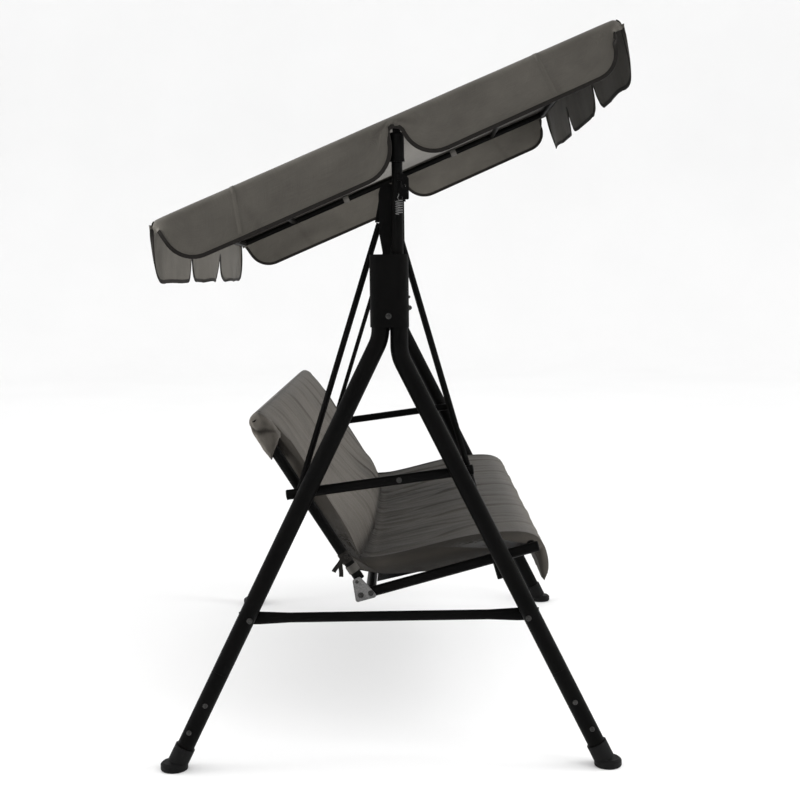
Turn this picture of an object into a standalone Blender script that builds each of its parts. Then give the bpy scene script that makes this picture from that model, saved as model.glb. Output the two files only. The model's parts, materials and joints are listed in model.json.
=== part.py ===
"""Canopy swing bench: two tube A-frames and a top beam, a bench that hangs from the beam, and a tilting canopy.

Frame: metres, +Z up. X runs along the bench, the bench faces -Y, and the origin is on the ground under the middle.
The right side, as someone sitting on the bench has it, is at -X.
"""

import math

import bmesh
import bpy
from mathutils import Matrix, Vector

# Sides of the object: name and sign of X.
SIDES = {"right": -1, "left": 1}
FRONT_BACK = {"front": -1, "rear": 1}
GAP = 0.0003  # clearance between touching pieces

# A-frames
FRAME_X = 0.81  # each A-frame's distance from the middle
FOOT_Y = 0.515  # each foot's distance from the middle
LEG_MEET_Z = 1.044  # height where the leg centre lines would meet
LEG_RADIUS = 0.021
LEG_WALL = 0.0015
LEG_BEND_RADIUS = 0.09
APEX_Y = -0.010  # middle of the two upright tube ends
UPRIGHT_OFFSET = 0.0215  # each upright end's distance from that middle
UPRIGHT_TOP_Z = 1.2085
SPLICE_Z = 0.235  # height where the lower leg plugs into the upper one
SPLICE_DEPTH = 0.06
LEG_START = 0.0225  # where the lower leg starts, along the leg from the ground

# Feet
PAD_RADIUS = 0.0325
PAD_HEIGHT = 0.02
PAD_EDGE = 0.005
SLEEVE_RADIUS = 0.0246
SLEEVE_START = 0.018
SLEEVE_END = 0.062
SOCKET_START = 0.0222

# Apex collar, top beam and its brackets
COLLAR_LOW_Z = 1.045
COLLAR_WALL = 0.002
CAP_THICKNESS = 0.003
BEAM_Y = -0.010
BEAM_Z = 1.352
BEAM_RADIUS = 0.016
BEAM_HALF = 0.7867
BRACKET_THICKNESS = 0.004
BRACKET_SLIT = (-0.0205, -0.0135)  # Y from and to, beside the post's rear edge
BRACKET_SLIT_Z = 1.228

# Side crossbars
CROSSBAR_Z = {"front": 0.362, "rear": 0.358}
CROSSBAR_RADIUS = 0.0122
CROSSBAR_FLAT = (0.0035, 0.0155)  # half thickness and half height of the pressed ends
CROSSBAR_PRESSED = 0.05  # length of each pressed end
CROSSBAR_OVERHANG = 0.018  # how far each end runs past the leg's centre line

# Canopy posts and tilt joints
POST_Y = -0.031
POST_RADIUS = 0.0128
POST_WALL = 0.0015
POST_TOP_Z = 1.476
TILT_Z = 1.509
HEAD_LOW_Z = 1.421
HEAD_TOP_Z = 1.4865
HEAD_RADIUS = 0.0172
HEAD_RIM = 0.001
HEAD_CHAMFER = 0.003
EAR_HALF_WIDTH = 0.0092
EAR_NEAR = 0.0101  # from the post's centre plane to an ear's inner face
EAR_FAR = 0.0145
TILT_BOLT_RADIUS = 0.004
TILT_BOLT_HEAD = (0.0075, 0.004)  # radius and thickness

# Tilt catch, on the right post only
CATCH_Y = -0.037
CATCH_Z = 1.385
CATCH_THICKNESS = 0.003
CATCH_SLOT = (-0.0125, -0.018, 0.0028)  # hole in the lever, from the pivot along Y and Z, and its radius
CATCH_EYE = (0.0025, -0.0375, 0.0034)  # hole for the spring's hook
RIVET_RADIUS = 0.003
RIVET_HEAD = 0.0015
SPRING_RADIUS = 0.0076  # to the middle of the wire
SPRING_WIRE = 0.0011
SPRING_TURNS = 6
SPRING_LOW_Z = 1.302
SPRING_TOP_Z = 1.334
SPRING_HOOK_Z = 1.3475

# Hanging bench
HANGER_X = 0.75
HANGER_RADIUS = 0.0075
HANGER_WALL = 0.0015
HANGER_TOP_Z = 1.2875  # underside of the hub
HANGER_TOP_DROP = 0.0028  # from the hub to the middle of a hanger's slanted end
HANGER_TOP_Y = {"front": -0.0275, "rear": 0.0119}
HANGER_LOW = {"front": (-0.2665, 0.440), "rear": (0.2205, 0.626)}
HUB_HALF_LENGTH = 0.015
HUB_RADIUS = 0.0222
BUSH_WALL = 0.0020
BUSH_CLEARANCE = 0.0006  # round the beam, so that the bush can turn on it
BUSH_FLANGE = 0.0035
BUSH_RIM = 0.0015  # the flange's thickness
TUBE_RADIUS = 0.0125
TUBE_WALL = 0.0015
CROSS_TUBE_WALLS = {"seat_front_tube": 0.002, "seat_rear_tube": 0.0015, "back_top_tube": 0.001}
ARM_RADIUS = 0.012
ARM_REAR_Y = 0.237
ARM_FRONT_Y = -0.2
ARM_Z = 0.684  # armrest height where Y is ARM_MID_Y
ARM_MID_Y = -0.027
ARM_SLOPE = 0.128  # rise towards the front
SEAT_SLOPE = 0.268  # rise towards the front
SEAT_MID = (-0.014, 0.421)
SEAT_REAR_Y = 0.068
SEAT_FRONT_Y = -0.3575
FRONT_TUBE_Y = -0.345
REAR_TUBE_Y = 0.045
BACK_BASE = (0.0845, 0.459)  # a point on the back tube's centre line
BACK_LEAN = 32.3  # degrees from vertical
BACK_LOW = -0.026  # the back tube's ends, along that line from the point
BACK_HIGH = 0.4325
BACK_TOP_TUBE = 0.42
CORNER_PLATE = 0.003
CUSHION_HALF = 0.70
SLING_HALF = 0.68

# Canopy, level in its own frame, whose origin is on the tilt axis
CANOPY_TILT = 22.6  # degrees, front edge up
RAIL_RADIUS = 0.0095
RAIL_WALL = 0.0012
RAIL_FRONT = -0.535
RAIL_REAR = 0.592
RIB_RADIUS = 0.008
RIB_PLACES = {"front": -0.345, "rear": 0.402}
COVER_THICKNESS = 0.003
COVER_HALF = 0.8355
COVER_OVERHANG = 0.0118  # beyond each rail's centre
COVER_CORNER = 0.045
VALANCE_DEPTH = 0.104  # below the tilt axis
VALANCE_THICKNESS = 0.0025
VALANCE_CORNER = 0.072
VALANCE_TOP = 0.0095
VALANCE_FRONT_INSET = 0.026  # from the sheet's edge to the side valance's end
VALANCE_REAR_INSET = 0.006
SPLIT_HALF = 0.0215  # half width of the side valance's split round the post
SPLIT_TOP = -0.010
END_VALANCE_DROP = 0.128
END_VALANCE_OFFSET = 0.0125  # in front of the rail's centre
END_VALANCE_HALF = 0.828
END_VALANCE_TOP = -0.002  # its upper edge, below the rail's centre
END_FLAP_SLIT = 0.078
END_FLAP_GAP = 0.008
END_FLAP_CORNER = 0.03
END_FLAP_LEAN = {"front": -13.0, "rear": 0.0}  # degrees from vertical, at rest

DRILL_LENGTH = 0.06  # long enough to go right through any piece that is drilled
LEG_SIDES = 18
BEAM_SIDES = 16
TUBE_SIDES = 14
RAIL_SIDES = 12
SMALL_SIDES = 10
X_AXIS = Vector((1, 0, 0))
Y_AXIS = Vector((0, 1, 0))
Z_AXIS = Vector((0, 0, 1))


def material(name, colour, roughness, metallic):
    """A Principled material."""
    made = bpy.data.materials.new(name)
    made.use_nodes = True
    shader = made.node_tree.nodes["Principled BSDF"]
    shader.inputs["Base Color"].default_value = (*colour, 1.0)
    shader.inputs["Roughness"].default_value = roughness
    shader.inputs["Metallic"].default_value = metallic
    made.diffuse_color = (*colour, 1.0)
    return made


def empty(name, position, tilt_degrees=0.0, parent=None):
    """A pivot: its X axis is the joint's axis."""
    made = bpy.data.objects.new(name, None)
    made.empty_display_size = 0.05
    bpy.context.scene.collection.objects.link(made)
    made.parent = parent
    made.location = position
    made.rotation_euler = (math.radians(tilt_degrees), 0.0, 0.0)
    return made


def finish_mesh(name, mesh_builder, surface, parent=None):
    """Turns a bmesh into a smooth-shaded object with outward faces. Its points are in its pivot's
    coordinates, or in world coordinates for the bench and for whatever has no pivot."""
    bmesh.ops.recalc_face_normals(mesh_builder, faces=mesh_builder.faces)
    mesh = bpy.data.meshes.new(name)
    mesh_builder.to_mesh(mesh)
    mesh_builder.free()
    made = bpy.data.objects.new(name, mesh)
    bpy.context.scene.collection.objects.link(made)
    if surface:
        mesh.materials.append(surface)
    mesh.shade_smooth()
    mesh.set_sharp_from_angle(angle=math.radians(35))
    made.parent = parent
    return made


def rounded(points, radius, steps, closed=True):
    """A polyline with each corner turned into an arc; radius is one number or one for each corner."""
    radii = radius if isinstance(radius, (list, tuple)) else [radius] * len(points)
    points = [Vector(point) for point in points]
    made = []
    for index, point in enumerate(points):
        inner = closed or 0 < index < len(points) - 1
        if not inner or radii[index] == 0:
            made.append(point)
            continue
        before = (points[index - 1] - point).normalized()
        after = (points[(index + 1) % len(points)] - point).normalized()
        half_angle = before.angle(after) / 2
        centre = point + (before + after).normalized() * radii[index] / math.sin(half_angle)
        reach = radii[index] / math.tan(half_angle)
        start = (point + before * reach - centre).normalized()
        stop = (point + after * reach - centre).normalized()
        turns = (start.slerp(stop, step / steps) for step in range(steps + 1))
        made += [centre + turn * radii[index] for turn in turns]
    return made


def bridge(mesh_builder, ring_a, ring_b):
    """Quads, or triangles at a single end point, between two rings of vertices."""
    count = max(len(ring_a), len(ring_b))
    for index in range(count):
        follow = (index + 1) % count
        corners = [ring_a[index % len(ring_a)], ring_a[follow % len(ring_a)]]
        corners += [ring_b[follow % len(ring_b)], ring_b[index % len(ring_b)]]
        mesh_builder.faces.new(list(dict.fromkeys(corners)))


def ring(mesh_builder, centre, across, along, sides):
    """An oval of vertices; across and along are its half axes as vectors."""
    turn = [2 * math.pi * index / sides for index in range(sides)]
    return [
        mesh_builder.verts.new(centre + across * math.cos(angle) + along * math.sin(angle))
        for angle in turn
    ]


def sweep(name, path, normals, half_sizes, wall, sides, surface, parent=None):
    """A tube, or a rod when wall is 0, along a path. half_sizes holds the half axes at each point:
    across the path's plane and in it. normals holds one vector across the path for each point."""
    mesh_builder = bmesh.new()
    outer, inner = [], []
    for index, point in enumerate(path):
        before, after = path[max(index - 1, 0)], path[min(index + 1, len(path) - 1)]
        tangent = (after - before).normalized()
        side = (normals[index] - tangent * normals[index].dot(tangent)).normalized()
        up = tangent.cross(side)
        wide, high = half_sizes[index]
        outer.append(ring(mesh_builder, point, side * wide, up * high, sides))
        if wall:
            inner.append(ring(mesh_builder, point, side * (wide - wall), up * (high - wall), sides))
    for layer in (outer, inner):
        for ring_a, ring_b in zip(layer, layer[1:]):
            bridge(mesh_builder, ring_a, ring_b)
    if wall:
        bridge(mesh_builder, outer[0], inner[0])
        bridge(mesh_builder, outer[-1], inner[-1])
    else:
        mesh_builder.faces.new(outer[0])
        mesh_builder.faces.new(outer[-1])
    return finish_mesh(name, mesh_builder, surface, parent)


def tube(name, path, radius, wall, sides, surface, parent=None):
    """A round tube with open ends along a path that lies in a plane of constant X, or runs along X."""
    path = [Vector(point) for point in path]
    along_x = abs((path[-1] - path[0]).normalized().x) > 0.9
    normal = Y_AXIS if along_x else X_AXIS
    sizes = [(radius, radius)] * len(path)
    return sweep(name, path, [normal] * len(path), sizes, wall, sides, surface, parent)


def turned(name, base, direction, outline, hollow, sides, surface, parent=None):
    """A piece turned round an axis. outline holds (distance along the axis, radius) points;
    a hollow piece's outline closes on itself, and a solid one starts and ends on the axis."""
    mesh_builder = bmesh.new()
    base, direction = Vector(base), Vector(direction).normalized()
    side = Y_AXIS if abs(direction.x) > 0.9 else X_AXIS
    up = direction.cross(side)
    rings = []
    for distance, radius in outline:
        centre = base + direction * distance
        if radius:
            rings.append(ring(mesh_builder, centre, side * radius, up * radius, sides))
        else:
            rings.append([mesh_builder.verts.new(centre)])
    pairs = list(zip(rings, rings[1:]))
    if hollow:
        pairs.append((rings[-1], rings[0]))
    for ring_a, ring_b in pairs:
        bridge(mesh_builder, ring_a, ring_b)
    return finish_mesh(name, mesh_builder, surface, parent)


def plate(name, outline, axis, low, high, surface, parent=None):
    """A flat outline extruded along X, Y or Z. The outline is in the other two axes, in XYZ order."""
    mesh_builder = bmesh.new()

    def corner(point, level):
        values = list(point)
        values.insert("XYZ".index(axis), level)
        return mesh_builder.verts.new(values)

    ends = [[corner(point, level) for point in outline] for level in (low, high)]
    for end in ends:
        mesh_builder.faces.new(end)
    bridge(mesh_builder, *ends)
    return finish_mesh(name, mesh_builder, surface, parent)


def sleeve_prism(name, outer, inner, low, high, surface):
    """A straight sleeve along Z between two outlines with the same number of points."""
    mesh_builder = bmesh.new()

    def loop(outline, level):
        return [mesh_builder.verts.new((point[0], point[1], level)) for point in outline]

    loops = [loop(outer, low), loop(outer, high), loop(inner, high), loop(inner, low)]
    for ring_a, ring_b in zip(loops, loops[1:] + loops[:1]):
        bridge(mesh_builder, ring_a, ring_b)
    return finish_mesh(name, mesh_builder, surface)


def combine(target, other, operation):
    """Joins or cuts target with another object, which stays as a hidden helper."""
    other.hide_render = True
    other.display_type = "WIRE"
    change = target.modifiers.new(other.name, "BOOLEAN")
    change.operation = operation
    change.solver = "EXACT"
    change.object = other


def drill(target, name, centre, radius, length, axis=X_AXIS, sides=SMALL_SIDES, parent=None):
    """Cuts a round hole of the given length, centred on a point."""
    start = Vector(centre) - axis * length / 2
    outline = [(0, 0), (0, radius), (length, radius), (length, 0)]
    combine(target, turned(name, start, axis, outline, False, sides, None, parent), "DIFFERENCE")


def stadium(centre_x, centre_y, spread, radius, steps=7):
    """An oval outline around two circles that lie spread either side of the centre along Y."""
    radius /= math.cos(math.pi / steps / 2)
    made = []
    for end in (1, -1):
        for step in range(steps + 1):
            angle = math.pi * step / steps + (0 if end > 0 else math.pi)
            x, y = radius * math.cos(angle), radius * math.sin(angle)
            made.append((centre_x + x, centre_y + end * spread + y))
    return made


# ---- A-frames ----


def leg_point(side_x, end, height):
    """A point on a leg's centre line."""
    return Vector((side_x, end * FOOT_Y * (1 - height / LEG_MEET_Z), height))


def build_legs(side, sign, steel, plastic):
    """Two bent upper tubes, two lower tubes that plug into them, and a plastic foot on each."""
    side_x = sign * FRAME_X
    for word, end in FRONT_BACK.items():
        upright_y = APEX_Y + end * UPRIGHT_OFFSET
        bend_z = LEG_MEET_Z * (1 - end * upright_y / FOOT_Y)
        corners = [
            leg_point(side_x, end, SPLICE_Z),
            Vector((side_x, upright_y, bend_z)),
            Vector((side_x, upright_y, UPRIGHT_TOP_Z)),
        ]
        path = rounded(corners, LEG_BEND_RADIUS, 5, closed=False)
        tube(f"{side}_{word}_leg_upper", path, LEG_RADIUS, LEG_WALL, LEG_SIDES, steel)
        ground = leg_point(side_x, end, 0)
        direction = (leg_point(side_x, end, SPLICE_Z) - ground).normalized()
        splice = SPLICE_Z / direction.z - GAP
        neck = LEG_RADIUS - LEG_WALL - GAP
        outline = [
            (LEG_START, LEG_RADIUS),
            (splice, LEG_RADIUS),
            (splice, neck),
            (splice + SPLICE_DEPTH, neck),
            (splice + SPLICE_DEPTH, neck - LEG_WALL),
            (splice - 2 * LEG_WALL, neck - LEG_WALL),
            (splice - 2 * LEG_WALL, LEG_RADIUS - LEG_WALL),
            (LEG_START, LEG_RADIUS - LEG_WALL),
        ]
        turned(f"{side}_{word}_leg_lower", ground, direction, outline, True, LEG_SIDES, steel)
        build_foot(f"{side}_{word}_foot", ground, direction, plastic)


def build_foot(name, ground, direction, plastic):
    """A flat round pad with a slanted sleeve that takes the leg's end."""
    pad = [(0, 0), (0, PAD_RADIUS - PAD_EDGE / 2), (PAD_EDGE / 2, PAD_RADIUS)]
    pad += [(PAD_HEIGHT - PAD_EDGE, PAD_RADIUS), (PAD_HEIGHT, PAD_RADIUS - PAD_EDGE), (PAD_HEIGHT, 0)]
    foot = turned(name, ground, Z_AXIS, pad, False, LEG_SIDES, plastic)
    length = SLEEVE_END - SLEEVE_START
    outline = [(0, 0), (0, SLEEVE_RADIUS), (length, SLEEVE_RADIUS), (length, 0)]
    start = ground + direction * SLEEVE_START
    combine(foot, turned(name + "_sleeve", start, direction, outline, False, LEG_SIDES, None), "UNION")
    drill(
        foot,
        name + "_socket",
        ground + direction * (SOCKET_START + SLEEVE_END / 2),
        LEG_RADIUS + GAP,
        SLEEVE_END,
        direction,
        LEG_SIDES,
    )


def build_apex(side, sign, steel):
    """The collar that clamps the two uprights, with a closed top, and the bracket that holds the beam's end."""
    side_x = sign * FRAME_X
    inner = stadium(side_x, APEX_Y, UPRIGHT_OFFSET, LEG_RADIUS + GAP)
    outer = stadium(side_x, APEX_Y, UPRIGHT_OFFSET, LEG_RADIUS + GAP + COLLAR_WALL)
    top = UPRIGHT_TOP_Z + GAP + CAP_THICKNESS
    collar = sleeve_prism(f"{side}_apex_collar", outer, inner, COLLAR_LOW_Z, top, steel)
    cap = plate(f"{side}_apex_cap", outer, "Z", top - CAP_THICKNESS, top, None)
    combine(collar, cap, "UNION")

    foot_z = top + GAP
    slit_front, slit_rear = BRACKET_SLIT
    slit_middle = (slit_front + slit_rear) / 2
    outline = [
        (slit_rear, foot_z),
        (BEAM_Y + 0.014, foot_z),
        (BEAM_Y + 0.0215, BEAM_Z - 0.096),
        (BEAM_Y + 0.0225, BEAM_Z - 0.052),
        (BEAM_Y + HUB_RADIUS, BEAM_Z),
    ]
    outline += [
        (BEAM_Y + HUB_RADIUS * math.cos(angle), BEAM_Z + HUB_RADIUS * math.sin(angle))
        for angle in (math.radians(30 * step) for step in range(1, 6))
    ]
    outline += [
        (BEAM_Y - HUB_RADIUS, BEAM_Z),
        (BEAM_Y - 0.033, BEAM_Z - 0.052),
        (BEAM_Y - 0.035, foot_z),
        (slit_front, foot_z),
        (slit_front, BRACKET_SLIT_Z),
        (slit_middle, BRACKET_SLIT_Z + 0.006),
        (slit_rear, BRACKET_SLIT_Z),
    ]
    near = sign * (BEAM_HALF + GAP)
    far = sign * (BEAM_HALF + GAP + BRACKET_THICKNESS)
    plate(f"{side}_beam_bracket", outline, "X", near, far, steel)


def build_crossbar(side, sign, steel):
    """The low bar between a side's two legs: a round tube with both ends pressed flat."""
    thin, tall = CROSSBAR_FLAT
    bar_x = sign * (FRAME_X - LEG_RADIUS - GAP - thin)
    ends = {}
    for word, end in FRONT_BACK.items():
        point = leg_point(bar_x, end, CROSSBAR_Z[word])
        ends[word] = point + Vector((0, end * CROSSBAR_OVERHANG, 0))
    length = (ends["rear"] - ends["front"]).length
    flat = CROSSBAR_PRESSED / length
    round_start = 2.4 * flat
    stations = [(0, 1), (flat, 1), (round_start, 0), (1 - round_start, 0), (1 - flat, 1), (1, 1)]
    path = [ends["front"].lerp(ends["rear"], place) for place, _ in stations]
    sizes = [CROSSBAR_FLAT if pressed else (CROSSBAR_RADIUS,) * 2 for _, pressed in stations]
    normals = [X_AXIS] * len(path)
    sweep(f"{side}_side_crossbar", path, normals, sizes, TUBE_WALL, RAIL_SIDES, steel)


# ---- Canopy posts, tilt joints and catch ----


def build_post(side, sign, steel):
    """The canopy post on the front upright, its forked head and the tilt bolt."""
    side_x = sign * FRAME_X
    foot_z = UPRIGHT_TOP_Z + CAP_THICKNESS + 2 * GAP
    path = [(side_x, POST_Y, foot_z), (side_x, POST_Y, POST_TOP_Z)]
    tube(f"{side}_canopy_post", path, POST_RADIUS, POST_WALL, TUBE_SIDES, steel)
    bore = POST_RADIUS + GAP
    outline = [
        (HEAD_LOW_Z, bore),
        (HEAD_LOW_Z, HEAD_RADIUS + HEAD_RIM),
        (HEAD_LOW_Z + 6 * HEAD_RIM, HEAD_RADIUS + HEAD_RIM),
        (HEAD_LOW_Z + 8 * HEAD_RIM, HEAD_RADIUS),
        (HEAD_TOP_Z - HEAD_CHAMFER, HEAD_RADIUS),
        (HEAD_TOP_Z, HEAD_RADIUS - HEAD_CHAMFER),
        (HEAD_TOP_Z, bore),
    ]
    post_axis = (side_x, POST_Y, 0)
    head = turned(f"{side}_tilt_head", post_axis, Z_AXIS, outline, True, TUBE_SIDES, steel)
    top = TILT_Z + EAR_HALF_WIDTH
    ear_round = EAR_HALF_WIDTH - GAP
    ear_low = POST_TOP_Z + GAP
    corners = [(-EAR_HALF_WIDTH, ear_low), (EAR_HALF_WIDTH, ear_low)]
    corners += [(EAR_HALF_WIDTH, top), (-EAR_HALF_WIDTH, top)]
    ear = [(POST_Y + y, z) for y, z in rounded(corners, [0, 0, ear_round, ear_round], 4)]
    for word, place in (("outer", 1), ("inner", -1)):
        faces = sorted(side_x + sign * place * reach for reach in (EAR_NEAR, EAR_FAR))
        blade = plate(f"{side}_tilt_head_{word}_ear", ear, "X", *faces, None)
        combine(head, blade, "UNION")
    axis_point = (side_x, POST_Y, TILT_Z)
    drill(head, f"{side}_tilt_head_hole", axis_point, TILT_BOLT_RADIUS + GAP, DRILL_LENGTH)
    head_radius, head_thickness = TILT_BOLT_HEAD
    length = 2 * (EAR_FAR + GAP)
    outline = [
        (-head_thickness, 0),
        (-head_thickness, head_radius),
        (0, head_radius),
        (0, TILT_BOLT_RADIUS),
        (length, TILT_BOLT_RADIUS),
        (length, head_radius),
        (length + head_thickness, head_radius),
        (length + head_thickness, 0),
    ]
    start = (side_x - EAR_FAR - GAP, POST_Y, TILT_Z)
    turned(f"{side}_tilt_bolt", start, X_AXIS, outline, False, SMALL_SIDES, steel)


def build_catch(steel, zinc):
    """The right post's sprung catch, which holds the canopy's tilt, and its coil spring."""
    face = -FRAME_X - POST_RADIUS - 2 * GAP
    pivot = empty("catch_pivot", (face, CATCH_Y, CATCH_Z))
    corners = [
        (0.008, 0.008),
        (-0.010, 0.009),
        (-0.0205, -0.002),
        (-0.0205, -0.050),
        (-0.0065, -0.050),
        (-0.0065, -0.043),
        (0.006, -0.043),
        (0.006, -0.029),
        (-0.006, -0.022),
        (-0.004, -0.008),
        (0.008, -0.007),
    ]
    radii = [0.004, 0.004, 0.007, 0.003, 0.002, 0, 0.002, 0.002, 0.002, 0.002, 0.004]
    outline = rounded(corners, radii, 2)
    lever = plate("tilt_catch", outline, "X", -CATCH_THICKNESS, 0, steel, pivot)
    for word, (y, z, radius) in (("slot", CATCH_SLOT), ("eye", CATCH_EYE)):
        drill(lever, f"tilt_catch_{word}", (0, y, z), radius, DRILL_LENGTH, parent=pivot)
    head = CATCH_THICKNESS + RIVET_HEAD
    rivet = [
        (-2 * GAP, 0),
        (-2 * GAP, RIVET_RADIUS),
        (CATCH_THICKNESS, RIVET_RADIUS),
        (CATCH_THICKNESS, 2 * RIVET_RADIUS),
        (head, 1.4 * RIVET_RADIUS),
        (head, 0),
    ]
    centre = (0, 0, 0)
    stud = turned("tilt_catch_rivet", centre, -X_AXIS, rivet, False, SMALL_SIDES, None, pivot)
    combine(lever, stud, "UNION")

    eye_y = CATCH_Y + CATCH_EYE[0]
    centre = Vector((face - SPRING_RADIUS, eye_y, 0))
    steps = 9
    path, normals = [], []
    for step in range(SPRING_TURNS * steps + 1):
        part = step / (SPRING_TURNS * steps)
        angle = 2 * math.pi * part * SPRING_TURNS
        outward = Vector((math.cos(angle), math.sin(angle), 0))
        height = SPRING_LOW_Z + (SPRING_TOP_Z - SPRING_LOW_Z) * part
        path.append(centre + outward * SPRING_RADIUS + Z_AXIS * height)
        normals.append(outward)
    eye = Vector((face, eye_y, SPRING_HOOK_Z))
    hook = [(-0.0048, 0.003, -0.0085), (-0.0056, 0.0005, -0.003), (-0.0045, 0, -0.0003), (-0.0006, 0, 0)]
    path += [eye + Vector(point) for point in hook]
    normals += [Y_AXIS] * len(hook)
    sizes = [(SPRING_WIRE, SPRING_WIRE)] * len(path)
    sweep("catch_spring", path, normals, sizes, 0, 6, zinc)


# ---- Hanging bench ----


def along_seat(y):
    return SEAT_MID[1] - SEAT_SLOPE * (y - SEAT_MID[0])


def along_arm(y):
    return ARM_Z - ARM_SLOPE * (y - ARM_MID_Y)


def on_back(distance, forward=0.0):
    """A (Y, Z) point along the back tube's line, and forward of it."""
    lean = math.radians(BACK_LEAN)
    y = BACK_BASE[0] + distance * math.sin(lean) - forward * math.cos(lean)
    z = BACK_BASE[1] + distance * math.cos(lean) + forward * math.sin(lean)
    return (y, z)


def build_hangers(side, sign, steel, plastic, parent):
    """Two hangers and the hub that carries them on the top beam, with its bush."""
    hanger_x = sign * HANGER_X
    for word in FRONT_BACK:
        top = (hanger_x, HANGER_TOP_Y[word], HANGER_TOP_Z - HANGER_TOP_DROP)
        points = [(hanger_x, *HANGER_LOW[word]), top]
        tube(f"{side}_{word}_hanger", points, HANGER_RADIUS, HANGER_WALL, SMALL_SIDES, steel, parent)
    outline = [(-0.038, HANGER_TOP_Z), (0.022, HANGER_TOP_Z)]
    outline += [
        (BEAM_Y + HUB_RADIUS * math.cos(angle), BEAM_Z + HUB_RADIUS * math.sin(angle))
        for angle in (math.radians(20 * step) for step in range(-1, 11))
    ]
    low, high = hanger_x - HUB_HALF_LENGTH, hanger_x + HUB_HALF_LENGTH
    hub = plate(f"{side}_hanger_hub", outline, "X", low, high, steel, parent)
    bush_inner = BEAM_RADIUS + BUSH_CLEARANCE
    bush_outer = bush_inner + BUSH_WALL
    centre = (hanger_x, BEAM_Y, BEAM_Z)
    bore = f"{side}_hanger_hub_bore"
    drill(hub, bore, centre, bush_outer + GAP, DRILL_LENGTH, sides=BEAM_SIDES, parent=parent)
    reach = HUB_HALF_LENGTH + GAP
    outline = [
        (-reach, bush_inner),
        (-reach, bush_outer),
        (reach, bush_outer),
        (reach, bush_outer + BUSH_FLANGE),
        (reach + BUSH_RIM, bush_outer + BUSH_FLANGE),
        (reach + BUSH_RIM, bush_inner),
    ]
    turned(f"{side}_hanger_bush", centre, X_AXIS * sign, outline, True, BEAM_SIDES, plastic, parent)


def build_bench_side(side, sign, steel, zinc, parent):
    """The armrest, seat tube, back tube and corner plate at one end of the bench."""
    tube_x = sign * (HANGER_X - HANGER_RADIUS - GAP - TUBE_RADIUS)
    arm_x = sign * (HANGER_X + HANGER_RADIUS + GAP + ARM_RADIUS)
    seat = [(tube_x, y, along_seat(y)) for y in (SEAT_FRONT_Y, SEAT_REAR_Y)]
    tube(f"{side}_seat_side_tube", seat, TUBE_RADIUS, TUBE_WALL, TUBE_SIDES, steel, parent)
    back = [(tube_x, *on_back(place)) for place in (BACK_LOW, BACK_HIGH)]
    tube(f"{side}_back_side_tube", back, TUBE_RADIUS, TUBE_WALL, TUBE_SIDES, steel, parent)
    arm = [(arm_x, y, along_arm(y)) for y in (ARM_FRONT_Y, ARM_REAR_Y)]
    tube(f"{side}_armrest", arm, ARM_RADIUS, TUBE_WALL, TUBE_SIDES, steel, parent)
    corners = [(0.080, 0.383), (0.027, 0.397), (0.050, 0.424), (0.070, 0.446), (0.088, 0.438)]
    near = abs(tube_x) + TUBE_RADIUS + GAP
    faces = sorted(sign * reach for reach in (near, near + CORNER_PLATE))
    outline = rounded(corners, 0.005, 2)
    plate(f"{side}_corner_plate", outline, "X", *faces, zinc, parent)


def build_bench_middle(steel, sling_fabric, cushion_fabric, parent):
    """The cross tubes, the sling under the seat, and the seat and back cushions."""
    inner = HANGER_X - HANGER_RADIUS - 2 * GAP - 2 * TUBE_RADIUS
    places = {
        "seat_front_tube": (FRONT_TUBE_Y, along_seat(FRONT_TUBE_Y)),
        "seat_rear_tube": (REAR_TUBE_Y, along_seat(REAR_TUBE_Y)),
        "back_top_tube": on_back(BACK_TOP_TUBE),
    }
    for name, (y, z) in places.items():
        ends = [(-inner, y, z), (inner, y, z)]
        tube(name, ends, TUBE_RADIUS, CROSS_TUBE_WALLS[name], TUBE_SIDES, steel, parent)

    sling_top = [(-0.331, 0.5055), (-0.235, 0.4825), (-0.148, 0.4545), (-0.07, 0.4435), (0.03, 0.4212)]
    sling = sling_top + [(y, z - 0.002) for y, z in reversed(sling_top)]
    plate("seat_sling", sling, "X", -SLING_HALF, SLING_HALF, sling_fabric, parent)

    seat = [
        (0.055, 0.460),
        (-0.03, 0.487),
        (-0.109, 0.504),
        (-0.205, 0.530),
        (-0.300, 0.537),
        (-0.353, 0.534),
        (-0.376, 0.518),
        (-0.384, 0.480),
        (-0.386, 0.424),
        (-0.380, 0.424),
        (-0.374, 0.475),
        (-0.362, 0.512),
        (-0.352, 0.5245),
        (-0.338, 0.5245),
        (-0.318, 0.508),
        (-0.235, 0.486),
        (-0.148, 0.4585),
        (-0.07, 0.4485),
        (0.047, 0.4445),
    ]
    plate("seat_cushion", seat, "X", -CUSHION_HALF, CUSHION_HALF, cushion_fabric, parent)
    hood = BACK_TOP_TUBE + TUBE_RADIUS
    back = [
        on_back(0.000, -0.006),
        on_back(0.002, 0.022),
        on_back(0.05, 0.030),
        on_back(0.25, 0.032),
        on_back(0.39, 0.031),
        on_back(hood + 0.004, 0.028),
        on_back(hood + 0.012, 0.018),
        on_back(hood + 0.012, -0.008),
        on_back(hood + 0.003, -0.0185),
        on_back(0.335, -0.0185),
        on_back(0.335, -0.0135),
        on_back(hood - 0.008, -0.0135),
        on_back(hood + 0.001, -0.006),
        on_back(hood + 0.001, 0.006),
        on_back(hood - 0.008, 0.0135),
        on_back(0.395, 0.0135),
        on_back(0.37, 0.004),
        on_back(0.33, -0.008),
        on_back(0.05, -0.010),
    ]
    plate("back_cushion", back, "X", -CUSHION_HALF, CUSHION_HALF, cushion_fabric, parent)


# ---- Canopy ----


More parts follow.
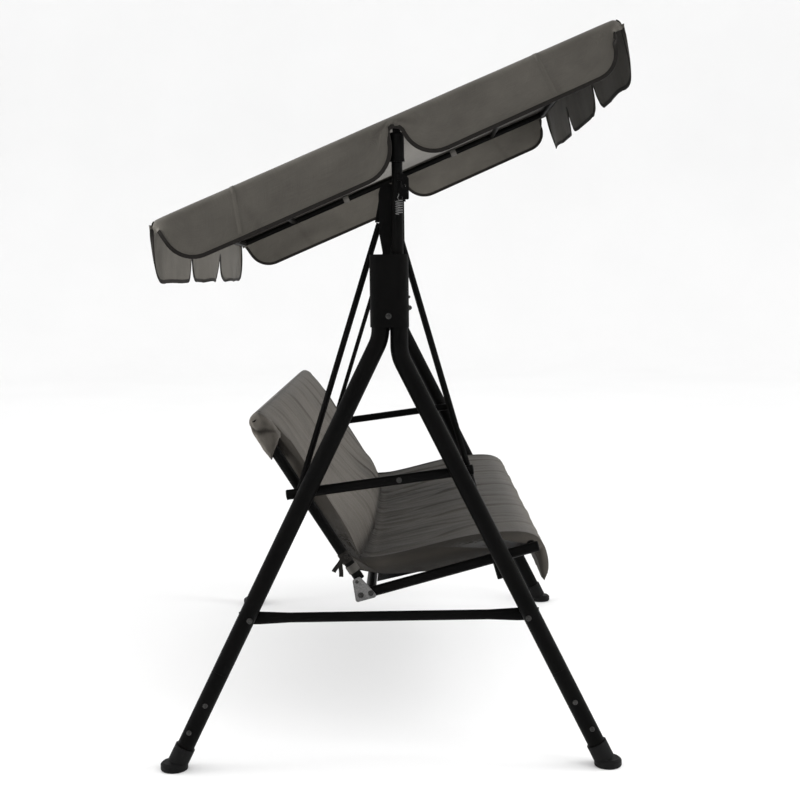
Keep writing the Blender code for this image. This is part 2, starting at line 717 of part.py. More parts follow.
def build_canopy_frame(steel, parent):
    """Two side rails on the tilt bolts, the front and rear rails between them, and two ribs."""
    for side, sign in SIDES.items():
        rail_x = sign * FRAME_X
        ends = [(rail_x, RAIL_FRONT - RAIL_RADIUS, 0), (rail_x, RAIL_REAR + RAIL_RADIUS, 0)]
        rail = tube(f"{side}_canopy_rail", ends, RAIL_RADIUS, RAIL_WALL, RAIL_SIDES, steel, parent)
        hole = TILT_BOLT_RADIUS + GAP
        drill(rail, f"{side}_canopy_rail_hole", (rail_x, 0, 0), hole, DRILL_LENGTH, parent=parent)
    inner = FRAME_X - RAIL_RADIUS - GAP
    rails = {"front_canopy_rail": (RAIL_FRONT, RAIL_RADIUS), "rear_canopy_rail": (RAIL_REAR, RAIL_RADIUS)}
    rails.update({f"{word}_canopy_rib": (place, RIB_RADIUS) for word, place in RIB_PLACES.items()})
    for name, (place, radius) in rails.items():
        ends = [(-inner, place, 0), (inner, place, 0)]
        tube(name, ends, radius, RAIL_WALL, RAIL_SIDES, steel, parent)


def build_cover(fabric, parent):
    """The cover's top sheet and its two side valances, each split round its post."""
    front, rear = RAIL_FRONT - COVER_OVERHANG, RAIL_REAR + COVER_OVERHANG
    corners = [(-COVER_HALF, front), (COVER_HALF, front), (COVER_HALF, rear), (-COVER_HALF, rear)]
    low = RAIL_RADIUS + GAP
    outline = rounded(corners, COVER_CORNER, 4)
    plate("canopy_cover", outline, "Z", low, low + COVER_THICKNESS, fabric, parent)

    split, split_top, split_round = SPLIT_HALF, SPLIT_TOP, SPLIT_HALF / 2
    front += VALANCE_FRONT_INSET
    rear -= VALANCE_REAR_INSET
    corners = [
        (front, VALANCE_TOP),
        (front, -VALANCE_DEPTH),
        (-split, -VALANCE_DEPTH),
        (-split, split_top),
        (split, split_top),
        (split, -VALANCE_DEPTH),
        (rear, -VALANCE_DEPTH),
        (rear, VALANCE_TOP),
    ]
    big = VALANCE_CORNER
    radii = [0, big, big, split_round, split_round, big, big, 0]
    outline = rounded(corners, radii, 5)
    for side, sign in SIDES.items():
        reach = (COVER_HALF - VALANCE_THICKNESS, COVER_HALF)
        faces = sorted(sign * place for place in reach)
        plate(f"{side}_valance", outline, "X", *faces, fabric, parent)


def build_end_valance(word, end, fabric, parent):
    """A front or rear valance of three flaps, hung from its rail and free to hang down as the canopy tilts."""
    half, slit, hem = END_VALANCE_HALF, END_FLAP_GAP / 2, END_VALANCE_TOP
    low, slit_top = -END_VALANCE_DROP, -END_VALANCE_DROP + END_FLAP_SLIT
    corners, radii = [(-half, hem)], [0]
    for flap in range(3):
        start = -half + 2 * half * flap / 3
        stop = start + 2 * half / 3
        left = start + (slit if flap else 0)
        right = stop - (slit if flap < 2 else 0)
        corners += [(left, low), (right, low)]
        radii += [END_FLAP_CORNER] * 2
        if flap < 2:
            corners += [(right, slit_top), (stop + slit, slit_top)]
            radii += [0, 0]
    corners.append((half, hem))
    radii.append(0)
    faces = sorted(end * reach for reach in (END_VALANCE_OFFSET, END_VALANCE_OFFSET + VALANCE_THICKNESS))
    outline = rounded(corners, radii, 4)
    plate(f"{word}_valance", outline, "Y", *faces, fabric, parent)


def main():
    for leftover in list(bpy.data.objects):
        bpy.data.objects.remove(leftover)
    steel = material("black_powder_coat", (0.012, 0.012, 0.012), 0.42, 0.0)
    zinc = material("zinc_plate", (0.42, 0.42, 0.43), 0.38, 1.0)
    plastic = material("black_plastic", (0.015, 0.015, 0.015), 0.55, 0.0)
    fabric = material("grey_canopy_fabric", (0.075, 0.068, 0.058), 0.9, 0.0)
    cushion_fabric = material("grey_cushion_fabric", (0.08, 0.072, 0.064), 0.9, 0.0)
    sling_fabric = material("black_sling_fabric", (0.02, 0.02, 0.02), 0.85, 0.0)

    swing = empty("swing_pivot", (0, BEAM_Y, BEAM_Z))
    canopy = empty("canopy_pivot", (0, POST_Y, TILT_Z), -CANOPY_TILT)
    for side, sign in SIDES.items():
        build_legs(side, sign, steel, plastic)
        build_apex(side, sign, steel)
        build_crossbar(side, sign, steel)
        build_post(side, sign, steel)
        build_hangers(side, sign, steel, plastic, swing)
        build_bench_side(side, sign, steel, zinc, swing)
    ends = [(-BEAM_HALF, BEAM_Y, BEAM_Z), (BEAM_HALF, BEAM_Y, BEAM_Z)]
    tube("top_beam", ends, BEAM_RADIUS, TUBE_WALL, BEAM_SIDES, steel)
    build_catch(steel, zinc)
    build_bench_middle(steel, sling_fabric, cushion_fabric, swing)
    for piece in swing.children:
        piece.matrix_parent_inverse = Matrix.Translation(-swing.location)
    build_canopy_frame(steel, canopy)
    build_cover(fabric, canopy)
    for word, end in FRONT_BACK.items():
        place = RAIL_FRONT if word == "front" else RAIL_REAR
        lean = END_FLAP_LEAN[word] + CANOPY_TILT
        hinge = empty(f"{word}_valance_pivot", (0, place, 0), lean, canopy)
        build_end_valance(word, end, fabric, hinge)


main()
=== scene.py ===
"""The looks of the canopy swing bench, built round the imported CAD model.

Metres, +Z up. X runs along the bench and the bench faces -Y. Canopy pieces are laid out in the canopy's own
directions: u runs from front to rear along its side rails, and w is square to its sheet.
"""

import json
from math import atan2, copysign, cos, exp, hypot, pi, radians, sin, sqrt, tan

import bmesh
import bpy
from mathutils import Matrix, Vector, noise


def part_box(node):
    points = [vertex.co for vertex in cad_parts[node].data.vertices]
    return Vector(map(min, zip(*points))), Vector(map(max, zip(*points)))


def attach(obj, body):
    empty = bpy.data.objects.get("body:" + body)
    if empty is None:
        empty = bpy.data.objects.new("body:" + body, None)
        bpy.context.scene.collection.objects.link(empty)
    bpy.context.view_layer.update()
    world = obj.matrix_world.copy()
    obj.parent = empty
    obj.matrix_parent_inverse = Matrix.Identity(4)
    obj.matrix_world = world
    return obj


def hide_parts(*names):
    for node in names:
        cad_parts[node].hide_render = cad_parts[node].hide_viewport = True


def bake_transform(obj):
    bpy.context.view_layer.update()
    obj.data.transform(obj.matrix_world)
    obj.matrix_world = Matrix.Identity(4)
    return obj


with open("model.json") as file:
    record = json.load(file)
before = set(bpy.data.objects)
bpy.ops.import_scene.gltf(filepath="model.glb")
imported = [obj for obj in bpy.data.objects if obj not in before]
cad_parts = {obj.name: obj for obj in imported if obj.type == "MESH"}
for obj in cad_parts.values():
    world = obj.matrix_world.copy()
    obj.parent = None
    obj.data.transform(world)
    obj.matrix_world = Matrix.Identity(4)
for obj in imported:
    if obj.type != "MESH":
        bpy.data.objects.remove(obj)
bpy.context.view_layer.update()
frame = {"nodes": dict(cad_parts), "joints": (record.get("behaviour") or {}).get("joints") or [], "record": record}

X_AXIS, Y_AXIS, Z_AXIS = Vector((1, 0, 0)), Vector((0, 1, 0)), Vector((0, 0, 1))
SIDES = {"right": -1, "left": 1}
ENDS = {"front": -1, "rear": 1}


def centre(node):
    low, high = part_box(node)
    return (low + high) / 2


PIVOTS = {joint["name"]: Vector(joint["pos_m"]) for joint in frame["joints"]}

# Canopy directions and sizes, from the frame
TILT_AXIS = PIVOTS["canopy_tilt"]
RAILS = {word: PIVOTS[f"{word}_valance_hang"] for word in ENDS}
ALONG = (RAILS["rear"] - RAILS["front"]).normalized()
UPWARD = X_AXIS.cross(ALONG)
RAIL_U = {word: (RAILS[word] - TILT_AXIS).dot(ALONG) for word in ENDS}
RAIL_X = centre("left_canopy_rail").x
COVER_EDGE_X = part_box("canopy_cover")[1].x
RIB_U = [(centre(f"{word}_canopy_rib") - TILT_AXIS).dot(ALONG) for word in ENDS]

# Canopy cloth
CLOTH = 0.0013  # thickness of the sheets
ROLL = 0.014  # from a rail's centre to the cloth over it
EDGE_RISE = 0.0165  # the cloth's height over the side rails
SIDE_DEPTH = 0.105  # of the side valances, below the rails
CORNER = 0.045  # rounding of the cover's corners, seen from above
SAG = 0.013  # of the sheet, between the ribs
FLAP_DEPTH = 0.131
FLAP_SLIT = 0.052  # depth at which the slits between flaps start
FLAP_HALF = 0.829
FLAP_LEAN = {"front": radians(-13.0), "rear": 0.0}
BINDING = 0.0085  # width of the tape along the cloth's edges

# Bench
BACK_BASE = Vector((0.0, 0.0845, 0.459))
BACK_LEAN = radians(32.3)
BACK_UP = Vector((0.0, sin(BACK_LEAN), cos(BACK_LEAN)))
BACK_FORWARD = Vector((0.0, -cos(BACK_LEAN), sin(BACK_LEAN)))
TUBE_RADIUS = 0.0125  # of the seat's and the back's tubes
TIE_WIDTH = 0.0105
STRAP_WIDTH = 0.02
STRAP_THICK = 0.0014
HOOD_FOOT = 0.335  # up the back, where the hood ends
HOOD_TOP = 0.4325
END_ROUND = 0.026  # depth of the cushion's rounded ends
CUSHION_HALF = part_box("seat_cushion")[1].x
BACK_TUBE_X = centre("left_back_side_tube").x
ARM_X = centre("left_armrest").x


def on_canopy(x, u, w):
    return TILT_AXIS + X_AXIS * x + ALONG * u + UPWARD * w


def on_back(x, up, forward):
    return BACK_BASE + X_AXIS * x + BACK_UP * up + BACK_FORWARD * forward


def grey(level):
    return (level, level, level)


def smooth(value):
    """0 below 0, 1 above 1, and a soft step between."""
    value = min(max(value, 0.0), 1.0)
    return value * value * (3 - 2 * value)


def groove(x, centre_x, width):
    return exp(-(((x - centre_x) / width) ** 2))


def wander(x, y, z=0.0):
    """Smooth noise from -1 to 1, about one swell for each unit."""
    return noise.noise(Vector((x, y, z)))


# ---- Materials ----


class Nodes:
    """Short names for building a material's nodes."""

    def __init__(self, name):
        self.material = bpy.data.materials.new(name)
        self.material.use_nodes = True
        self.tree = self.material.node_tree
        self.shader = self.tree.nodes["Principled BSDF"]
        coordinates = self.add("ShaderNodeTexCoord")
        self.flat, self.place = coordinates.outputs["UV"], coordinates.outputs["Object"]

    def add(self, kind, **settings):
        made = self.tree.nodes.new(kind)
        for key, value in settings.items():
            if key in made.inputs:
                made.inputs[key].default_value = value
            else:
                setattr(made, key, value)
        return made

    def link(self, source, target):
        self.tree.links.new(source, target)
        return source

    def noise(self, vector, scale, detail=3.0, rough=0.55):
        made = self.add("ShaderNodeTexNoise", Scale=scale, Detail=detail, Roughness=rough)
        self.link(vector, made.inputs["Vector"])
        return made.outputs["Fac"]

    def maths(self, operation, first, second=None):
        made = self.add("ShaderNodeMath", operation=operation)
        for socket, value in zip(made.inputs, (first, second)):
            if isinstance(value, (int, float)):
                socket.default_value = value
            elif value is not None:
                self.link(value, socket)
        return made.outputs[0]

    def plus(self, first, second):
        return self.maths("ADD", first, second)

    def times(self, first, second):
        return self.maths("MULTIPLY", first, second)

    def threads(self, vector, pitch):
        """Two sets of waves, along X and along Y, half a wave for each pitch."""
        split = self.add("ShaderNodeSeparateXYZ")
        self.link(vector, split.inputs[0])
        return [self.maths("SINE", self.times(split.outputs[way], pi / pitch)) for way in "XY"]

    def spread(self, value, low, high):
        """Maps 0..1 to low..high."""
        made = self.add("ShaderNodeMapRange")
        self.link(value, made.inputs["Value"])
        made.inputs["To Min"].default_value = low
        made.inputs["To Max"].default_value = high
        return made.outputs["Result"]

    def ramp(self, value, stops):
        made = self.add("ShaderNodeValToRGB")
        while len(made.color_ramp.elements) < len(stops):
            made.color_ramp.elements.new(0.5)
        for element, (place, colour) in zip(made.color_ramp.elements, stops):
            element.position = place
            element.color = (*colour, 1.0)
        self.link(value, made.inputs["Fac"])
        return made.outputs["Color"]

    def bump(self, height, distance, strength=1.0, after=None):
        made = self.add("ShaderNodeBump", Strength=strength, Distance=distance)
        self.link(height, made.inputs["Height"])
        if after:
            self.link(after, made.inputs["Normal"])
        return made.outputs["Normal"]

    def set(self, name, value):
        socket = self.shader.inputs[name]
        if isinstance(value, bpy.types.NodeSocket):
            self.link(value, socket)
        else:
            socket.default_value = value


def powder_coat():
    """Satin black paint with a fine orange peel and slightly duller, dustier patches."""
    made = Nodes("black_powder_coat_finish")
    patches = made.noise(made.place, 9.0)
    peel = made.noise(made.place, 900.0, 2.0)
    made.set("Base Color", made.ramp(patches, [(0.3, grey(0.0008)), (0.75, (0.002, 0.0019, 0.0018))]))
    made.set("Roughness", made.spread(patches, 0.4, 0.52))
    made.set("Specular IOR Level", 0.045)
    made.set("Normal", made.bump(peel, 0.00012, 0.35))
    return made.material


def zinc(name, dark, light):
    """Zinc plate: a faint crystal pattern, dull in places."""
    made = Nodes(name)
    place = made.place
    crystals = made.add("ShaderNodeTexVoronoi", Scale=220.0)
    made.link(place, crystals.inputs["Vector"])
    tone = made.plus(made.times(crystals.outputs["Distance"], 0.5), made.noise(place, 40.0))
    made.set("Base Color", made.ramp(tone, [(0.35, dark), (0.95, light)]))
    made.set("Metallic", 0.85)
    made.set("Roughness", made.spread(made.noise(place, 120.0), 0.34, 0.52))
    made.set("Normal", made.bump(made.noise(place, 1400.0), 0.00006, 0.4))
    return made.material


def plastic():
    """Matt black moulded plastic with a fine spark-eroded grain."""
    made = Nodes("black_plastic_finish")
    patches = made.noise(made.place, 25.0)
    made.set("Base Color", made.ramp(patches, [(0.3, grey(0.002)), (0.8, grey(0.0045))]))
    made.set("Roughness", made.spread(patches, 0.55, 0.7))
    made.set("Specular IOR Level", 0.12)
    made.set("Normal", made.bump(made.noise(made.place, 1600.0), 0.0001, 0.5))
    return made.material


def cloth(name, colour, thread, slub=0.16, sheen=0.06, fold=0.0, painted_crease_shade=False):
    """Plain-woven polyester: two sets of threads over the mesh's UVs, in metres, uneven threads and
    soft mottling; the threads' crests are painted a little paler and the gaps between them darker, as painted
    shade of the weave. A cloth with crease shading is painted darker in its creases (painted shade) and paler
    on its ridges (painted highlight), by the mesh's crease attribute."""
    made = Nodes(name)
    height = made.plus(made.times(made.times(*made.threads(made.flat, thread)), 0.5), 0.5)
    stretched = []
    for scale in ((900.0, 22.0, 1.0), (22.0, 900.0, 1.0)):
        mapping = made.add("ShaderNodeMapping", Scale=scale)
        made.link(made.flat, mapping.inputs["Vector"])
        stretched.append(made.noise(mapping.outputs["Vector"], 1.0, 1.0))
    uneven = made.times(made.plus(*stretched), 0.5)
    mottle = made.noise(made.place, 14.0, 4.0)
    tone = made.plus(made.times(uneven, 0.55), made.times(mottle, 0.45))
    # Painted shade of the weave: thread crests a little paler, the gaps between threads a little darker
    tone = made.plus(made.times(made.maths("SUBTRACT", height, 0.5), 0.22), tone)
    dark, light = (tuple(part * (1 + way * slub * 1.6) for part in colour) for way in (-1, 1))
    colour = made.ramp(tone, [(0.25, dark), (0.75, light)])
    # Painted light: the crease attribute darkens the colour in creases (painted shade) and lightens it on ridges
    # (painted highlight)
    if painted_crease_shade:
        depth = made.add("ShaderNodeAttribute", attribute_name="crease").outputs["Fac"]
        stops = [(0.0, (0.3, 0.29, 0.28)), (0.5, grey(1.0)), (1.0, grey(1.25))]
        # A Mix node's inputs 6 and 7 are its two colours, and its output 2 is the mixed one
        shade = made.add("ShaderNodeMix", data_type="RGBA", blend_type="MULTIPLY")
        shade.inputs[0].default_value = 1.0
        made.link(colour, shade.inputs[6])
        made.link(made.ramp(depth, stops), shade.inputs[7])
        colour = shade.outputs[2]
    made.set("Base Color", colour)
    made.set("Roughness", made.spread(mottle, 0.82, 0.94))
    made.set("Specular IOR Level", 0.12)
    made.set("Sheen Weight", sheen)
    made.set("Sheen Roughness", 0.5)
    first = None
    if fold:
        first = made.bump(made.noise(made.place, 34.0, 3.0, 0.5), fold, 0.7)
    made.set("Normal", made.bump(height, 0.0003, 0.55, first))
    return made.material


def mesh_weave():
    """Black coated mesh of the sling: coarse crossed strands with dull hollows between, the hollows painted darker
    as shade.
    """
    made = Nodes("black_sling_finish")
    strands = [made.maths("ABSOLUTE", wave) for wave in made.threads(made.place, 0.0016)]
    height = made.maths("MAXIMUM", *strands)
    # Painted shade: the hollows between the strands are darker than the strands
    made.set("Base Color", made.ramp(height, [(0.3, grey(0.002)), (0.9, grey(0.009))]))
    made.set("Roughness", made.spread(height, 0.8, 0.5))
    made.set("Specular IOR Level", 0.15)
    made.set("Normal", made.bump(height, 0.0004, 0.8))
    return made.material


COAT = powder_coat()
ZINC = zinc("zinc_plate_finish", (0.075, 0.075, 0.076), (0.17, 0.168, 0.165))
DULL_ZINC = zinc("dull_zinc_finish", (0.016, 0.016, 0.016), (0.05, 0.049, 0.047))
PLASTIC = plastic()
# The canopy and cushion cloths take painted shade and painted highlight from their crease attribute
CANOPY_CLOTH = cloth("grey_canopy_cloth", (0.062, 0.0575, 0.05), 0.0011, fold=0.0012, painted_crease_shade=True)
CUSHION_CLOTH = cloth(
    "grey_cushion_cloth", (0.0575, 0.052, 0.045), 0.001, slub=0.12, fold=0.0022, painted_crease_shade=True
)
# Near-black cloth for the cushion's underside and the back's lower rear face: painted shade under the cushion
UNDERSIDE_SHADE_CLOTH = cloth("underside_painted_shade_cloth", (0.012, 0.011, 0.01), 0.0012, sheen=0.03)
TAPE = cloth("dark_binding_tape", (0.01, 0.009, 0.008), 0.0008, sheen=0.03)
WEBBING = cloth("grey_webbing", (0.05, 0.047, 0.043), 0.0016, slub=0.2)
SLING = mesh_weave()


# ---- Mesh helpers ----


def new_object(name, points, faces, material, uvs=None, creases=None):
    """A smooth-shaded mesh. For each point, uvs holds (u, v) in metres, and creases its painted shade:
    0 for painted shade in a crease, 1 for a painted highlight on a ridge and 0.5 on flat cloth."""
    mesh = bpy.data.meshes.new(name)
    mesh.from_pydata([tuple(point) for point in points], [], faces)
    if uvs:
        layer = mesh.uv_layers.new(name="weave")
        for loop in mesh.loops:
            layer.data[loop.index].uv = uvs[loop.vertex_index]
    shades = [min(max(shade, 0.0), 1.0) for shade in creases] if creases else [0.5] * len(points)
    # The crease attribute carries the painted shade and painted highlight into the cloth's colour
    mesh.attributes.new("crease", "FLOAT", "POINT").data.foreach_set("value", shades)
    mesh.materials.append(material)
    mesh.shade_smooth()
    made = bpy.data.objects.new(name, mesh)
    bpy.context.scene.collection.objects.link(made)
    return made


def grid_faces(rows, columns, closed=False, start=0):
    """Quads between rows of points; closed joins each row's last point to its first."""
    faces = []
    for row in range(rows - 1):
        for column in range(columns if closed else columns - 1):
            follow = (column + 1) % columns
            corners = (row * columns + column, row * columns + follow)
            corners += ((row + 1) * columns + follow, (row + 1) * columns + column)
            faces.append(tuple(start + corner for corner in corners))
    return faces


def tube_faces(rows, around):
    """The faces of a tube of rows of points, closed at both ends."""
    faces = grid_faces(rows, around, closed=True)
    faces.append(tuple(reversed(range(around))))
    faces.append(tuple(range((rows - 1) * around, rows * around)))
    return faces


def tangent_at(points, index):
    """The direction of an open line at one of its points."""
    return (points[min(index + 1, len(points) - 1)] - points[max(index - 1, 0)]).normalized()


def lengths(points):
    """How far along a line of points each one is."""
    made = [0.0]
    for before, after in zip(points, points[1:]):
        made.append(made[-1] + (Vector(after) - Vector(before)).length)
    return made


def canopy_sheet(name, grid, creases):
    """Canopy cloth from a grid of points, one list for each row, as a closed solid with UVs in metres."""
    rows, columns = len(grid), len(grid[0])
    along = [lengths(row) for row in grid]
    across = [lengths([grid[row][column] for row in range(rows)]) for column in range(columns)]
    points = [point for row in grid for point in row]
    uvs = [(along[row][column], across[column][row]) for row in range(rows) for column in range(columns)]
    shades = [shade for row in creases for shade in row]
    faces = grid_faces(rows, columns)
    made = new_object(name, points, faces, CANOPY_CLOTH, uvs, shades)
    thicken = made.modifiers.new("thickness", "SOLIDIFY")
    thicken.thickness = CLOTH
    thicken.offset = 0.0
    apply_modifiers(made)
    return made


def apply_modifiers(piece):
    """Replaces a piece's mesh with what its modifiers make of it."""
    graph = bpy.context.evaluated_depsgraph_get()
    piece.data = bpy.data.meshes.new_from_object(piece.evaluated_get(graph))
    piece.modifiers.clear()


def resample(points, step):
    """Points spaced evenly along a line, about step apart."""
    points = [Vector(point) for point in points]
    places = lengths(points)
    count = max(2, round(places[-1] / step))
    made, index = [], 0
    for number in range(count + 1):
        place = places[-1] * number / count
        while index < len(points) - 2 and places[index + 1] < place:
            index += 1
        span = max(places[index + 1] - places[index], 1e-9)
        made.append(points[index].lerp(points[index + 1], (place - places[index]) / span))
    return made


def rounded(corners, radii, steps=8):
    """An open line of 2-D corners with an arc of the given radius at each inner one."""
    corners = [Vector(corner) for corner in corners]
    made = [corners[0]]
    for before, corner, after, radius in zip(corners, corners[1:], corners[2:], radii):
        back, forth = (before - corner).normalized(), (after - corner).normalized()
        half = back.angle(forth) / 2
        middle = corner + (back + forth).normalized() * radius / sin(half)
        reach = radius / tan(half)
        start, stop = corner + back * reach - middle, corner + forth * reach - middle
        turn = start.angle_signed(stop)
        for step in range(steps + 1):
            angle = -turn * step / steps
            made.append(middle + Matrix.Rotation(angle, 2) @ start)
    made.append(corners[-1])
    return made


def spline(points, per_span=8):
    """A smooth line through points (Catmull-Rom)."""
    points = [Vector(point) for point in points]
    ends = [points[0] * 2 - points[1], *points, points[-1] * 2 - points[-2]]
    made = []
    for a, b, c, d in zip(ends, ends[1:], ends[2:], ends[3:]):
        for step in range(per_span):
            t = step / per_span
            square, cube = (a * 2 - b * 5 + c * 4 - d) * t**2, (b * 3 - a - c * 3 + d) * t**3
            made.append((b * 2 + (c - a) * t + square + cube) / 2)
    return [*made, points[-1]]


def sweep(name, path, section, sides, material):
    """A section of (across, above) swept along a path; sides gives its across direction at each point."""
    points, uvs = [], []
    places = lengths(path)
    for index, (point, side) in enumerate(zip(path, sides)):
        tangent = tangent_at(path, index)
        side = (side - tangent * side.dot(tangent)).normalized()
        up = tangent.cross(side)
        for across, above in section(places[index]):
            points.append(point + side * across + up * above)
            uvs.append((across, places[index]))
    faces = tube_faces(len(path), len(points) // len(path))
    return face_outward(new_object(name, points, faces, material, uvs))


def strip(name, path, wide_way, width, thickness, material):
    """A flat strap along a path, with its edges rounded off. Its width lies along wide_way."""
    upper = [(-0.5, 0.3), (-0.46, 0.5), (0.46, 0.5), (0.5, 0.3)]
    section = upper + [(across, -above) for across, above in reversed(upper)]
    section = [(across * width, above * thickness) for across, above in section]
    return sweep(name, path, lambda place: section, [wide_way] * len(path), material)


def face_outward(piece):
    builder = bmesh.new()
    builder.from_mesh(piece.data)
    bmesh.ops.recalc_face_normals(builder, faces=builder.faces)
    builder.to_mesh(piece.data)
    builder.free()
    piece.data.shade_smooth()
    piece.data.set_sharp_from_angle(angle=radians(50))
    return piece


def bound_edge(name, edge, inner):
    """Binding tape folded over a sheet's edge; inner holds the points next to the edge, inside the sheet."""

    def section(place):
        ripple = 1 + 0.12 * wander(place * 60, 3.0)
        fold = [(-0.0009, 0.0), (-0.0004, 0.0013), (BINDING, 0.0015), (BINDING, -0.0015), (-0.0004, -0.0013)]
        return [(across, above * ripple) for across, above in fold]

    inward = [inside - point for inside, point in zip(inner, edge)]
    return sweep(name, edge, section, inward, TAPE)


# ---- Canopy cover ----


def side_outline():
    """The lower edge of a side valance in (u, w), from rear to front, with the split at the post."""
    rear, front = RAIL_U["rear"] + 0.006, RAIL_U["front"] + 0.0155
    corners = [
        (rear, -0.012),
        (rear - 0.018, -SIDE_DEPTH - 0.001),
        (0.043, -SIDE_DEPTH + 0.002),
        (0.022, -0.004),
        (-0.002, -0.018),
        (-0.006, -SIDE_DEPTH + 0.001),
        (front, -SIDE_DEPTH + 0.008),
        (front - 0.001, -0.012),
    ]
    return resample(rounded(corners, [0.075, 0.085, 0.01, 0.01, 0.078, 0.062]), 0.0075)


def sag_at(x, u):
    """How far the sheet hangs below the line between its supports."""
    supports = sorted([RAIL_U["front"], *RIB_U, RAIL_U["rear"]])
    depth = 0.0
    for low, high in zip(supports, supports[1:]):
        if low < u < high:
            place = (u - low) / (high - low)
            depth = SAG * ((high - low) / 0.75) ** 2 * 4 * place * (1 - place)
    return depth * (1 - min(abs(x) / RAIL_X, 1.0) ** 6)


def pinch_at(u, below):
    """Small folds that fan out from the top of the split."""
    away = hypot(u - 0.015, below + 0.012)
    angle = atan2(below + 0.012, u - 0.015)
    return 0.0022 * exp(-away / 0.05) * sin(angle * 9) * smooth(away / 0.01)


def cover_column(top_u, top_w, bottom):
    """One line of the cover across its width, from the middle to one side's lower edge, as (x, u, w)."""
    past_end = max(RAIL_U["front"] + CORNER - 0.012 - top_u, top_u - RAIL_U["rear"] - 0.012 + CORNER, 0.0)
    cut = CORNER - sqrt(max(CORNER**2 - min(past_end, CORNER * 0.97) ** 2, 0.0))
    edge_x = COVER_EDGE_X - 0.0018 - cut * 0.4
    roll_x = edge_x - 0.0235
    line = []
    for step in range(41):
        x = roll_x * step / 40
        rise = (EDGE_RISE - ROLL) * smooth((x / roll_x - 0.8) / 0.2)
        drop = sag_at(x, top_u) - 0.0014 * wander(x * 5, top_u * 5) * (1 - (x / roll_x) ** 8)
        line.append((x, top_u, top_w + rise - drop))
    ridge = line[-1][2]
    low_w = max(bottom[1], min(-0.001, ridge - 0.003))
    for step in range(1, 7):
        angle = pi / 2 * step / 6
        x = roll_x + (edge_x - roll_x) * sin(angle)
        line.append((x, top_u, low_w + (ridge - low_w) * cos(angle)))
    for step in range(1, 15):
        share = step / 14
        u = top_u + (bottom[0] - top_u) * share
        w = low_w + (bottom[1] - low_w) * share
        hang = smooth(-w / SIDE_DEPTH)
        wave = 0.005 * wander(u * 6, 2.0) + 0.0022 * wander(u * 21, w * 12) - 0.002
        x = edge_x + hang * (wave + 0.001) - 0.003 * hang**2 + pinch_at(u, -w)
        line.append((x, u, w))
    return line


def cover_painted_shade(x, u, w):
    """The cover's painted shade, round 0.5: painted shade in soft hollows, a dark painted crease at each rib, and
    painted shade and highlight along the folds at the split.
    """
    shade = 0.5 + 0.15 * wander(u * 4.2 + w * 5, x * 2.0 + w * 11, 4.0)
    shade += 0.07 * wander(u * 13, x * 5 + w * 30, 9.0)
    for rib_u in RIB_U:
        shade -= 0.13 * groove(u - 0.25 * w, rib_u, 0.009) * (0.6 + 0.4 * wander(x * 6, w * 20))
    if w < 0.012 and abs(x) > RAIL_X:
        shade += pinch_at(u, -w) * 75
    return shade


def build_cover():
    """One sewn cover: the top sheet rolls over the side rails into two valances, split at the posts."""
    outline = side_outline()
    places = lengths(outline)
    rear_u, front_u = RAIL_U["rear"], RAIL_U["front"]
    turns = [radians(angle) for angle in (12, 35, 60, 80)]
    columns = [(rear_u + ROLL * cos(turn), ROLL * sin(turn), None) for turn in turns]
    for place, point in zip(places, outline):
        share = place / places[-1]
        top_u = rear_u + 0.001 - (rear_u - front_u + 0.002) * share
        columns.append((top_u, ROLL, (point.x, point.y)))
    columns += [(front_u - ROLL * cos(turn), ROLL * sin(turn), None) for turn in reversed(turns)]
    halves = [cover_column(top_u, top_w, bottom or (top_u, -0.012)) for top_u, top_w, bottom in columns]
    grid, creases = [], []
    for line in halves:
        left = [on_canopy(x, u, w) for x, u, w in line]
        right = [on_canopy(-x, u, w + 0.0004 * wander(u * 9, 5.0)) for x, u, w in line[1:]]
        grid.append([*reversed(right), *left])
        # Painted shade and painted highlight for each point of the cover
        shades = [cover_painted_shade(-x, u, w) for x, u, w in reversed(line[1:])]
        creases.append(shades + [cover_painted_shade(x, u, w) for x, u, w in line])
    cover = canopy_sheet("canopy_cover_cloth", grid, creases)
    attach(cover, "canopy")
    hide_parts("canopy_cover", "right_valance", "left_valance")
    for side, end in (("left", -1), ("right", 0)):
        inner = 1 if end == 0 else -2
        body = grid[4:-4]
        edge, inside = [row[end] for row in body], [row[inner] for row in body]
        tape = bound_edge(f"{side}_valance_binding", edge, inside)
        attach(tape, "canopy")
    seams = [cover_seam(word, grid) for word in ENDS]


def cover_seam(word, grid):
    """The felled seam across the cover over a rib, from one side valance's edge to the other."""
    rib_u = RIB_U[0] if word == "front" else RIB_U[1]
    body = grid[4:-4]
    row = min(body, key=lambda line: abs((line[len(line) // 2] - TILT_AXIS).dot(ALONG) - rib_u))
    row = row[2:-2]
    path = []
    for index, point in enumerate(row):
        normal = ALONG.cross(tangent_at(row, index)).normalized()
        path.append(point - normal * (CLOTH / 2 + 0.0003))
    seam_width, seam_thick = 0.009, 0.0011
    name = f"{word}_cover_seam"
    made = strip(name, path, ALONG, seam_width, seam_thick, CANOPY_CLOTH)
    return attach(made, "canopy")


def build_rail_straps():
    """The short straps that hold the cover down on the side rails."""
    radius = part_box("left_canopy_rail")[1].x - RAIL_X + 0.0012
    for side, sign in SIDES.items():
        for word, u in (("front", -0.2), ("rear", 0.205)):
            path = []
            for angle in range(-205, 26, 12):
                turn = radians(angle)
                path.append(on_canopy(sign * (RAIL_X + radius * cos(turn)), u, radius * sin(turn)))
            path.insert(0, path[0] + X_AXIS * sign * 0.004 + UPWARD * 0.006)
            path.append(path[-1] + X_AXIS * sign * 0.002 + UPWARD * 0.006)
            name = f"{side}_{word}_rail_strap"
            made = strip(name, path, ALONG, STRAP_WIDTH, STRAP_THICK, WEBBING)
            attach(made, "canopy")


# ---- End valances ----


